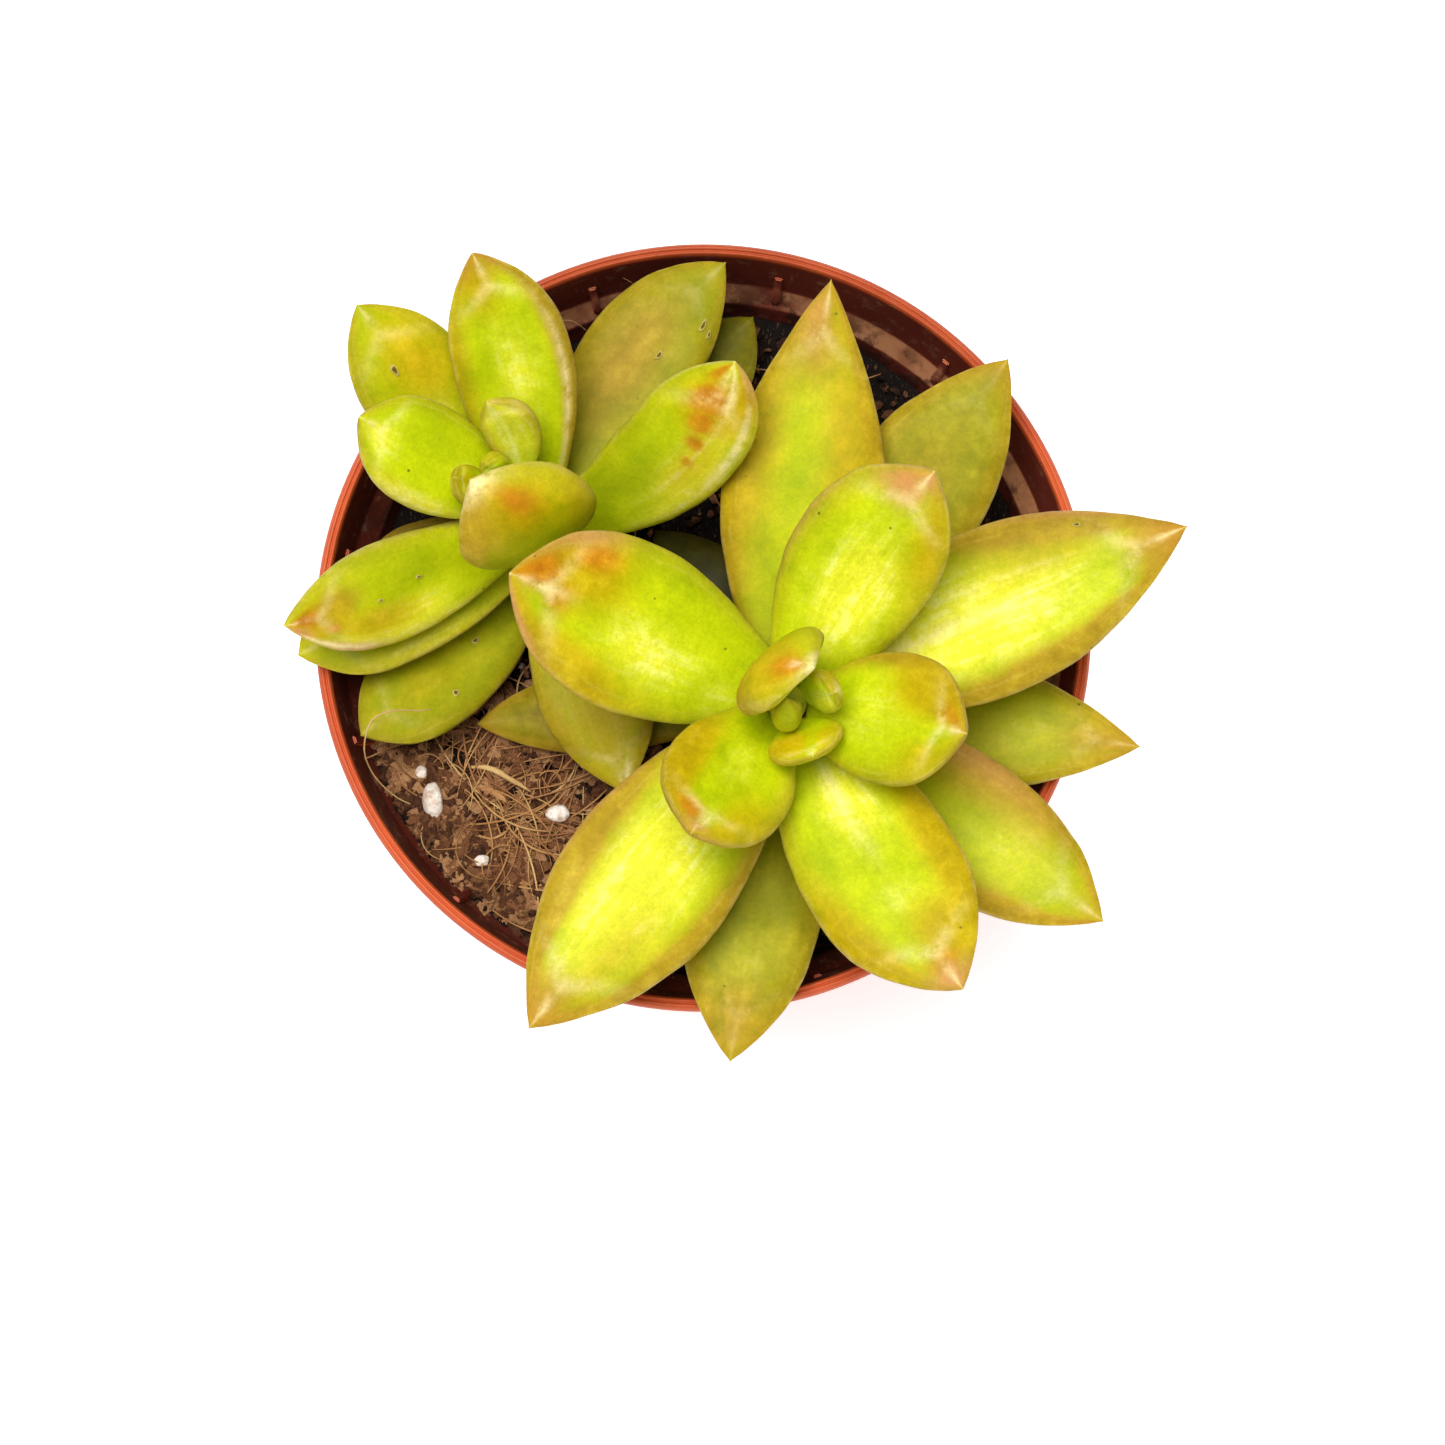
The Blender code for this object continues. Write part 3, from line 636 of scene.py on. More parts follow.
# Loose pale hairs over a leaf's edge and on the ledge, as x, y, z in mm.
LOOSE_HAIRS = [
    (0.09, 1.0, [
        (-29.6, -9.6, 74.4), (-30.9, -9.9, 75.4), (-33.5, -10.0, 76.4), (-35.7, -10.9, 76.6),
        (-36.6, -12.7, 76.0), (-36.9, -14.7, 73.6), (-36.0, -16.8, 70.4), (-34.0, -18.6, 67.6),
        (-31.6, -19.6, 65.8)]),
    (0.03, 0.9, [
        (-20.9, 32.1, 67.4), (-18.7, 34.0, 68.4), (-16.4, 35.0, 69.0), (-14.7, 35.0, 69.2),
        (-13.0, 34.0, 68.2)]),
    (0.03, 0.9, [(-10.9, 40.2, 71.0), (-9.0, 39.6, 70.6), (-7.4, 38.9, 69.6)]),
    (0.10, 0.55, [(-38.6, -14.6, 67.6), (-37.0, -14.0, 67.2), (-35.2, -13.0, 66.4), (-33.6, -12.4, 65.4)]),
    (0.10, 0.60, [(-24.0, -30.6, 66.2), (-21.0, -32.6, 66.6), (-17.6, -33.8, 66.6), (-13.6, -34.2, 66.2)]),
]
for radius, tone, knots in LOOSE_HAIRS:
    spots = [Vector(knot) / 1000 for knot in knots]
    fibres.add(smooth_path(spots, 6), tapered(radius / 1000, 0.5, 4), tone)
add_piece("husk_fibres", mesh_with("fibres", fibres.points, fibres.faces, tone=fibres.tones), husk)

# Slivers: half width in mm, tone and places as above.
SLIVERS = [
    (0.34, 0.98, [(-26.4, -14.9, 1.3), (-23.9, -15.1, 1.9), (-21.7, -16.3, 1.8), (-19.3, -17.7, 1.2)]),
    (0.42, 0.72, [(-24.8, -17.0, 1.2), (-23.4, -17.8, 1.4), (-22.0, -18.8, 1.3)]),
    (0.30, 0.50, [(-18.6, -21.0, 1.0), (-16.4, -20.6, 1.3)]),
    (0.36, 0.42, [(-28.0, -14.6, 1.0), (-27.0, -17.2, 1.2), (-26.4, -19.4, 0.9)]),
    (0.28, 0.62, [(-21.4, -27.6, 0.9), (-18.8, -28.2, 1.2)]),
    (0.26, 0.55, [(-13.6, -12.4, 0.9), (-16.0, -15.4, 1.2)]),
]
slivers = Bundle()
for radius, tone, knots in SLIVERS:
    slivers.add(smooth_path(over_bed(knots), 8), tapered(radius / 1000, 0.75, 2.4), tone, 10)
splinters = mesh_with("slivers", slivers.points, slivers.faces, tone=slivers.tones)
for vertex in splinters.vertices:
    vertex.co.x += 0.00012 * noise.noise(vertex.co * 1800)
    vertex.co.y += 0.00012 * noise.noise(vertex.co * 1800 + Vector((5, 0, 0)))
add_piece("husk_slivers", splinters, husk)

# ---------------------------------------------------------------- perlite
# Puffed volcanic glass: light chalky grains with pits, stained a little by the damp mix.


def puffed_glass():
    """Chalky white, greyer in the pits."""
    material, wire, feed = finish_named("puffed_glass", Specular_IOR_Level=0.4, Subsurface_Weight=0.15,
                                        Subsurface_Radius=(0.001, 0.0008, 0.0006))
    place = wire.coordinates()
    pits = place.grain(0.00045, 4, 0.7)
    cloud = place.grain(0.0016, 3)
    chalk = (pits * 0.45 + cloud * 0.55).ramp(
        (0.32, ink(176, 142, 116)), (0.46, ink(220, 198, 178)), (0.60, ink(250, 244, 236)))
    feed("Base Color", chalk)
    feed("Roughness", 0.45 + 0.5 * pits)
    feed("Normal", pits.bump(0.7, 0.00015))
    return material


perlite = puffed_glass()
# Where each grain lies, x and y, and its three sizes.
PERLITE_GRAINS = [
    (-0.0302, -0.0188, 0.0024, 0.0040, 0.0022),
    (-0.0162, -0.0202, 0.0026, 0.0020, 0.0018),
    (-0.0316, -0.0156, 0.0014, 0.0016, 0.0012),
    (-0.0247, -0.0255, 0.0018, 0.0014, 0.0012),
    (-0.0117, -0.0198, 0.0010, 0.0014, 0.0010),
    (-0.0338, -0.0118, 0.0012, 0.0012, 0.0010),
]


def grain_mesh(name, seed, x, y, sizes, lift):
    lump_points, lump_faces = pebble(4, seed + 50, 0.16)
    shift = Vector((seed, 0, 0))
    points = []
    for point in lump_points:
        pit = 1 - 0.05 * abs(noise.noise(point * 6 + shift)) - 0.03 * abs(noise.noise(point * 15 + shift))
        points.append(Vector((x, y, lift)) + Vector(a * b for a, b in zip(point, sizes)) * pit)
    return mesh_with(name, points, lump_faces)


for number, (x, y, *sizes) in enumerate(PERLITE_GRAINS, start=1):
    lift = soil_height(x, y) + 0.0012 + sizes[2] * 0.4
    mesh = grain_mesh(f"grain_{number}", number, x, y, sizes, lift)
    add_piece(f"perlite_{number}", mesh, perlite, f"perlite_grain_{number}")
dust_points, dust_faces = [], []
draw = random.Random(5)
for seed in range(26):
    away, angle = 0.035 * math.sqrt(draw.random()), draw.uniform(0, 2 * math.pi)
    x, y, size = away * math.cos(angle), away * math.sin(angle), draw.uniform(0.0004, 0.0009)
    if from_stems(x, y) < 0.0045:
        continue
    lump_points, lump_faces = pebble(2, seed + 80, 0.4)
    first = len(dust_points)
    lift = soil_height(x, y) + 0.0003 + size * 0.3
    dust_points += [Vector((x, y, lift)) + point * size for point in lump_points]
    dust_faces += [tuple(first + i for i in face) for face in lump_faces]
add_piece("perlite_dust", mesh_with("perlite_dust", dust_points, dust_faces), perlite)

# ---------------------------------------------------------------- stems
# Two short fleshy canes rooted in the mix. Low down they are grey-brown and ringed with the scars
# of fallen leaves, and towards the bud they are green.


class Stem:
    """The middle line of a stem as a smooth curve through its foot, knee and top."""

    def __init__(self, foot, knee, top, foot_radius, top_radius):
        self.points = [Vector(foot), Vector(knee), Vector(top)]
        self.foot_radius, self.top_radius = foot_radius, top_radius

    def at(self, t):
        a, b, c = self.points
        return a * (1 - t) ** 2 + b * 2 * t * (1 - t) + c * t**2

    def share(self, z):
        """The place along the stem, 0 to 1, at which it passes height z."""
        low, high = 0.0, 1.0
        for _ in range(30):
            middle = (low + high) / 2
            if self.at(middle).z < z:
                low = middle
            else:
                high = middle
        return low

    def radius(self, share):
        return self.foot_radius + (self.top_radius - self.foot_radius) * share


BIG_STEM = Stem(
    foot=(0.0092, -0.0055, 0.0530), knee=(0.0089, -0.0085, 0.0780), top=(0.0088, -0.0122, 0.0975),
    foot_radius=0.0033, top_radius=0.0018)
LITTLE_STEM = Stem(
    foot=(-0.0162, 0.0085, 0.0530), knee=(-0.0160, 0.0085, 0.0740), top=(-0.0202, 0.0128, 0.0870),
    foot_radius=0.0028, top_radius=0.0014)


def stem_skin():
    """Green flesh under a grey-brown skin that is worn away towards the top."""
    material, wire, feed = finish_named("stem_skin", Specular_IOR_Level=0.2, Subsurface_Weight=0.1,
                                        Subsurface_Radius=(0.002, 0.002, 0.0005))
    place = wire.coordinates()
    z = place.parts()[2]
    cloud = place.grain(0.003, 4)
    fine = place.stretched(1, 1, 0.4).grain(0.0004, 4, 0.65)
    green = cloud.ramp((0.3, ink(146, 146, 30)), (0.7, ink(186, 184, 54)))
    bark = fine.ramp((0.3, ink(96, 78, 50)), (0.7, ink(150, 128, 88)))
    worn = (z + (cloud - 0.5) * 0.012).rise(0.086, 0.066)
    feed("Base Color", green.tint(worn, bark))
    feed("Roughness", 0.45 + 0.3 * worn)
    feed("Normal", (fine + cloud).bump(0.5, 0.0002))
    return material


cane_skin = stem_skin()
cane_rings, cane_sides, cane_end = 70, 32, 0.93
for label, stem in (("big", BIG_STEM), ("little", LITTLE_STEM)):
    points = [stem.at(0)]
    for i in range(cane_rings):
        share = cane_end * i / (cane_rings - 1)
        centre = stem.at(share)
        ahead = (stem.at(min(share + 0.01, 1)) - stem.at(max(share - 0.01, 0))).normalized()
        side = ahead.cross(Vector((0, 1, 0))).normalized()
        front = ahead.cross(side)
        for k in range(cane_sides):
            angle = 2 * math.pi * k / cane_sides
            scar = 0.06 * max(0, math.sin(share * 60 + 2 * math.sin(angle))) ** 6
            around = Vector((math.cos(angle), math.sin(angle), 0))
            lump = 1 - scar - 0.04 * abs(noise.noise(centre * 500 + around))
            reach = stem.radius(share) * lump
            points.append(centre + reach * (side * math.cos(angle) + front * math.sin(angle)))
    points.append(stem.at(cane_end) + Vector((0, 0, stem.top_radius * 0.6)))
    cane = mesh_with(f"{label}_cane", points, capped_rings(cane_rings, cane_sides))
    add_piece(f"{label}_cane", cane, cane_skin, f"{label}_stem")

# ---------------------------------------------------------------- big rosette
# Eighteen thick, boat-shaped leaves round the taller stem. The flesh is lime and translucent, and
# sun has turned margins tan and tips amber. Each leaf is its own piece, narrow at the stem.


class Leaf:
    """Places a leaf's cross-sections along its middle line."""

    def __init__(self, stem, row):
        turn, base, x, y, z, belly, sway, roll, width, depth, widest, point = row
        out = Vector((math.cos(math.radians(turn)), math.sin(math.radians(turn)), 0))
        share = stem.share(base)
        start = stem.at(share) + out * (stem.radius(share) + 0.0003)
        end = Vector((x, y, z))
        left = Vector((-out.y, out.x, 0))
        below = left.cross((end - start).normalized()).normalized()
        self.a, self.c = start, end
        self.b = (start + end) / 2 + left * (2 * sway) + below * (2 * belly)
        self.left, self.roll = left, math.radians(roll)
        self.width, self.depth, self.widest, self.point = width, depth, widest, point
        self.length = (end - start).length

    def middle(self, t):
        return self.a * (1 - t) ** 2 + self.b * (2 * t * (1 - t)) + self.c * t**2

    def axes(self, t):
        ahead = ((self.b - self.a) * (1 - t) + (self.c - self.b) * t).normalized()
        side = (self.left - ahead * self.left.dot(ahead)).normalized()
        side = Matrix.Rotation(self.roll, 3, ahead) @ side
        return side, ahead.cross(side)

    def half_width(self, t):
        """Waist at the stem, full width at widest, pointed at the tip. 1 is the full width."""
        if t < self.widest:
            return 0.45 + 0.55 * math.sin(0.5 * math.pi * t / self.widest) ** 1.15
        return max(1 - ((t - self.widest) / (1 - self.widest)) ** self.point, 0.0)

    def at(self, t, angle):
        """A point of the skin, and its (across, up) place round the section, each -1 to 1."""
        side, up = self.axes(t)
        share = self.half_width(t)
        close = math.sqrt(max(0, 1 - (max(0, t - 0.968) / 0.032) ** 2))
        plump = 0.62 + 0.38 * math.sin(math.pi * min(t / 0.9, 1)) ** 0.8
        deep = self.depth * plump * min(1, (share + 0.05) ** 0.6)
        c, s = math.cos(angle), math.sin(angle)
        across = math.copysign(abs(c) ** 0.85, c)
        if s >= 0:
            panel = s**0.62 * (1 - 0.14 * (1 - c * c) ** 2)
            gable = 0.86 * (1 - abs(c) ** 1.25)
            ends = smooth_step(0.80, 0.90, t + 0.10 * abs(c))
            high = 0.38 * (panel + (gable - panel) * ends * 0.75)
        else:
            high = -0.62 * (-s) ** 0.9
        half = self.width / 2 * share
        return self.middle(t) + (side * (across * half) + up * (high * deep)) * close, across, s


def leaf_flesh():
    """Waxy translucent skin. Each leaf's points carry where they are on it and how it was coloured by
    age and sunburn, with painted highlight and painted shade: place (along, across, underside),
    nature (age, tanned margin, tip), a vector of amber, yellow that is partly painted highlight, and
    rose, one of tan, painted highlight on the crest lines and painted shade, then gilt, and grain,
    which runs along the leaf."""
    material, wire, feed = finish_named(
        "leaf_flesh", Subsurface_Weight=0.20, Subsurface_Radius=(0.0030, 0.0030, 0.0004),
        Subsurface_Scale=1.0, IOR=1.40, Specular_IOR_Level=0.12, Coat_Roughness=0.35, Coat_IOR=1.35)

    place = wire.coordinates()
    along, across, beneath = wire.given("place", "Vector").parts()
    age, tanned, tip = wire.given("nature", "Vector").parts()
    amber, lemon_and_highlight, rose = wire.given("sun", "Vector").parts()
    tan, ridge_highlight, shade = wire.given("wear", "Vector").parts()
    grain = wire.given("grain", "Vector")
    gilt = wire.given("gilt")
    edge = abs(across)
    cloud = place.grain(0.0050, 4, 0.6)
    patch = place.grain(0.0016, 5, 0.65)
    fine = place.grain(0.00045, 3, 0.6)
    cell = place.grain(0.00016, 2, 0.5)
    streak = grain.grain(1, 4, 0.6)
    hair = grain.stretched(1, 3.0, 1).grain(1, 3, 0.6)
    unrest = (cloud - 0.5) * 0.55 + (streak - 0.5) * 0.35 + (patch - 0.5) * 0.45

    def washed(weight, ragged):
        """The weight of a wash, its edge broken up by the unrest of the skin."""
        return (weight * (1 + unrest * ragged)).rise(0, 1)

    lime = (cloud * 0.6 + streak * 0.2 + patch * 0.2).ramp(
        (0.34, ink(168, 186, 2)), (0.50, ink(192, 206, 6)), (0.66, ink(214, 222, 14)))
    olive = (cloud * 0.4 + streak * 0.2 + patch * 0.4).ramp(
        (0.34, ink(126, 122, 4)), (0.50, ink(156, 149, 10)), (0.66, ink(186, 176, 26)))
    skin = lime.tint((age + unrest * 0.5).rise(0.05, 0.95), olive)
    bronze = (cloud * 0.5 + patch * 0.3 + streak * 0.2).ramp(
        (0.34, ink(138, 116, 22)), (0.50, ink(168, 140, 32)), (0.66, ink(190, 160, 46)))
    skin = skin.tint(beneath * 0.85, bronze)
    # The yellow wash is partly the leaf's own colour and partly a painted highlight, pale up to near white
    # where overhead light would shine.
    pale_yellow_and_highlight = (streak * 0.4 + patch * 0.35 + hair * 0.25).ramp(
        (0.34, ink(218, 220, 26)), (0.50, ink(238, 234, 60)), (0.64, ink(255, 255, 150)))
    skin = skin.tint(washed(lemon_and_highlight, 1.2) * 0.85, pale_yellow_and_highlight)
    margin = (edge + unrest * 0.4 + (along - 0.6) * 0.22).rise(0.48, 1.04) * tanned
    gold = (cloud * 0.3 + streak * 0.3 + patch * 0.4).ramp(
        (0.34, ink(160, 124, 22)), (0.50, ink(186, 149, 34)), (0.66, ink(210, 178, 52)))
    skin = skin.tint(wire.maths("MINIMUM", margin + washed(tan, 1.2), 1) * 0.9, gold)
    skin = skin.tint((along + unrest * 0.15).rise(0.85, 0.99) * tip, ink(186, 132, 46))
    mustard = (patch * 0.4 + streak * 0.2 + cloud * 0.4).ramp(
        (0.34, ink(170, 142, 0)), (0.50, ink(195, 165, 4)), (0.66, ink(220, 190, 28)))
    skin = skin.tint(washed(gilt, 1.3) * 0.9, mustard)
    burnt = washed(amber, 1.6)
    fire = (patch * 0.5 + streak * 0.2 + cloud * 0.3).ramp(
        (0.34, ink(178, 100, 12)), (0.50, ink(200, 130, 16)), (0.66, ink(222, 166, 30)))
    skin = skin.tint(burnt * 0.95, fire)
    skin = skin.tint(washed(rose, 1.2) * 0.85, ink(208, 146, 88))
    # Cream streaks on the crest and fork lines near the tip: a painted highlight.
    skin = skin.tint(ridge_highlight * patch.rise(0.28, 0.56) * 0.9, ink(255, 238, 172))
    # A thin pale line along each margin of the top: a painted highlight where light catches the rounded edge.
    margin_highlight = edge.rise(0.93, 0.995) * patch.rise(0.36, 0.62) * (1 - beneath)
    skin = skin.tint(margin_highlight * 0.35, ink(226, 196, 110))
    # A faint pale streak along each shoulder of the top: a painted highlight.
    off_shoulder = abs(edge - 0.82 + (cloud - 0.5) * 0.3).rise(0.0, 0.04)
    shoulder_highlight = (1 - off_shoulder) * hair.rise(0.46, 0.62) * (1 - beneath)
    skin = skin.tint(shoulder_highlight * 0.12, ink(240, 226, 110))
    waist = (along + unrest * 0.05).rise(0.16, 0.0) * (1 - beneath)
    skin = skin.tint(waist * 0.30, ink(158, 168, 30))
    spots = wire.node("ShaderNodeTexVoronoi", {}, {"Vector": place, "Scale": 420.0}, "Distance")
    which = wire.node("ShaderNodeTexVoronoi", {}, {"Vector": place, "Scale": 420.0}, "Color")
    speck = spots.rise(0.10, 0.05) * which.parts()[0].rise(0.90, 0.94)
    skin = skin.tint(speck * 0.75, ink(96, 72, 20))
    # Brightness: noise, made darker towards the margins, a painted shade where the skin turns away from the
    # light, and darker under the shade wash, a painted shade for leaves lying in shadow.
    bright = 0.56 + 0.40 * fine + 0.28 * cell + 0.06 * hair + 0.06 * cloud - 0.12 * edge.rise(0.55, 1)
    bright = bright * (1 - shade * 0.6)
    feed("Base Color", skin.lit(bright))
    feed("Roughness", 0.40 + 0.14 * fine + 0.08 * hair + 0.06 * burnt)
    feed("Coat Weight", 0.02 + 0.06 * patch)
    feed("Normal", (fine * 0.5 + cell * 0.35 + hair * 0.5 + patch * 0.6 - speck * 0.5).bump(0.22, 0.00016))
    return material


flesh = leaf_flesh()


def add_leaf(rosette, number, stem, row, look, seed):
    """One leaf: a closed skin of rings along the middle line. look is (age, tanned margin, tanned
    tip, bronzed underside, washes). A wash is (kind, along, across, reach along, reach across,
    strength), where across runs round the leaf: 0 on top, 1 or -1 at a margin, 2 on the keel."""
    age, tanned, tip, bronzed, washes = look
    leaf = Leaf(stem, row)
    places = [0, 0.012, 0.03] + [0.03 + 0.955 * (i / 58) ** 0.94 for i in range(1, 59)] + [0.993]
    sides = 56
    points = [leaf.middle(0)]
    measures = {"place": [(0, 0, 0)], "nature": [(age, tanned, tip)], "sun": [(0, 0, 0)], "wear": [(0, 0, 0)],
                "grain": [(0, 0, seed)], "gilt": [0.0]}
    puffiness = 0.00010 + 0.006 * leaf.width
    for i, t in enumerate(places):
        shrink = (0.72, 0.93)[i] if i < 2 else 1.0
        centre = leaf.middle(t)
        for k in range(sides):
            skin, across, up = leaf.at(t, 2 * math.pi * k / sides)
            spoke = (skin - centre) * shrink
            swell = noise.noise(skin * 170 + Vector((seed, 0, 0))) + 0.4 * noise.noise(skin * 420)
            spoke += spoke.normalized() * puffiness * swell * min(1, 12 * t) * smooth_step(1, 0.9, t)
            points.append(centre + spoke)
            around = across if up >= 0 else math.copysign(2 - abs(across), across)
            # The washes: sunburn colours, the yellow wash that is partly painted highlight, painted highlight
            # on the crest lines, and painted shade.
            sun = dict.fromkeys(("amber", "lemon_and_highlight", "rose", "tan", "ridge_highlight", "shade", "gold"), 0)
            for kind, at, aside, reach, spread, strength in washes:
                gap = abs(around - aside)
                far = ((t - at) / reach) ** 2 + (min(gap, 4 - gap) / spread) ** 2
                sun[kind] = max(sun[kind], strength * math.exp(-far))
            # A painted highlight near the tip: a crest line down the middle of the top, and a fork where the
            # shoulder lines meet, fainter on older leaves.
            crest = 0.65 * (1 - age) * math.exp(-(across / 0.16) ** 2) * smooth_step(0.88, 0.94, t)
            past_fork = (t + 0.10 * abs(across) - 0.87) / 0.025
            fork = 0.50 * (1 - age) * math.exp(-(past_fork**2)) * (1 - abs(across))
            shine = max(crest, fork, sun["ridge_highlight"]) if up > 0 else sun["ridge_highlight"]
            measures["place"].append((t, across, bronzed * smooth_step(0.02, -0.45, up)))
            measures["nature"].append((age, tanned, tip))
            measures["sun"].append((sun["amber"], sun["lemon_and_highlight"], sun["rose"]))
            measures["wear"].append((sun["tan"], shine, sun["shade"]))
            measures["gilt"].append(sun["gold"])
            run, spread_out = t * leaf.length * 100, across * leaf.width * 260
            measures["grain"].append((run, spread_out, seed * 3.7 + 0.6 * up))
    points.append(leaf.middle(1))
    ridge_point = len(points) - 1 - sides * 3 // 4
    for measure in measures.values():
        measure.append(measure[ridge_point])
    name = f"{rosette}_rosette_leaf_{number:02d}"
    faces = capped_rings(len(places), sides, other_diagonal=True)
    mesh = mesh_with(name, points, faces, **measures)
    add_piece(name, mesh, flesh, f"{rosette}_leaf_{number:02d}")
    return leaf


BIG_LEAVES = [
    # turn base    x        y        z       belly   sway     roll width   depth   widest point
    (266, 0.0975, 0.0085, -0.0122, 0.1038, 0.0000, 0.0000, 0, 0.0032, 0.0026, 0.45, 2.5),
    (34, 0.0968, 0.0132, -0.0117, 0.1038, 0.0004, 0.0000, 0, 0.0048, 0.0028, 0.50, 2.6),
    (293, 0.0962, 0.0112, -0.0178, 0.1008, 0.0002, 0.0000, 0, 0.0080, 0.0030, 0.50, 2.2),
    (137, 0.0962, 0.0112, -0.0098, 0.1085, 0.0014, 0.0004, 0, 0.0112, 0.0042, 0.50, 3.0),
    (348, 0.0930, 0.0264, -0.0158, 0.1040, 0.0010, 0.0004, 0, 0.0138, 0.0054, 0.48, 3.0),
    (228, 0.0915, -0.0010, -0.0258, 0.1040, 0.0010, 0.0000, 0, 0.0138, 0.0056, 0.50, 2.7),
    (58, 0.0900, 0.0232, 0.0100, 0.1080, 0.0014, 0.0012, 0, 0.0154, 0.0060, 0.50, 3.0),
    (300, 0.0885, 0.0263, -0.0411, 0.0985, 0.0010, -0.0008, 0, 0.0166, 0.0062, 0.52, 2.8),
    (157, 0.0870, -0.0193, 0.0004, 0.1040, 0.0016, -0.0004, 0, 0.0176, 0.0062, 0.50, 3.0),
    (24, 0.0850, 0.0500, 0.0066, 0.0965, 0.0012, 0.0000, 0, 0.0178, 0.0062, 0.50, 1.9),
    (233, 0.0832, -0.0179, -0.0448, 0.0900, 0.0008, 0.0000, 0, 0.0180, 0.0062, 0.52, 2.1),
    (84, 0.0812, 0.0136, 0.0342, 0.0906, 0.0014, 0.0004, 0, 0.0178, 0.0060, 0.46, 1.6),
    (325, 0.0795, 0.0420, -0.0335, 0.0860, 0.0006, 0.0000, 0, 0.0150, 0.0060, 0.52, 2.4),
    (57, 0.0762, 0.0328, 0.0270, 0.0848, 0.0012, 0.0004, 0, 0.0154, 0.0052, 0.52, 2.4),
    (260, 0.0760, 0.0029, -0.0480, 0.0805, 0.0000, 0.0000, 0, 0.0148, 0.0056, 0.55, 2.3),
    (352, 0.0742, 0.0468, -0.0145, 0.0810, 0.0006, 0.0000, 0, 0.0128, 0.0052, 0.55, 1.8),
    (125, 0.0700, -0.0054, 0.0112, 0.0690, 0.0000, 0.0000, 0, 0.0110, 0.0042, 0.52, 2.2),
    (187, 0.0672, -0.0254, -0.0103, 0.0665, -0.0002, -0.0004, 0, 0.0096, 0.0042, 0.55, 2.2),
]
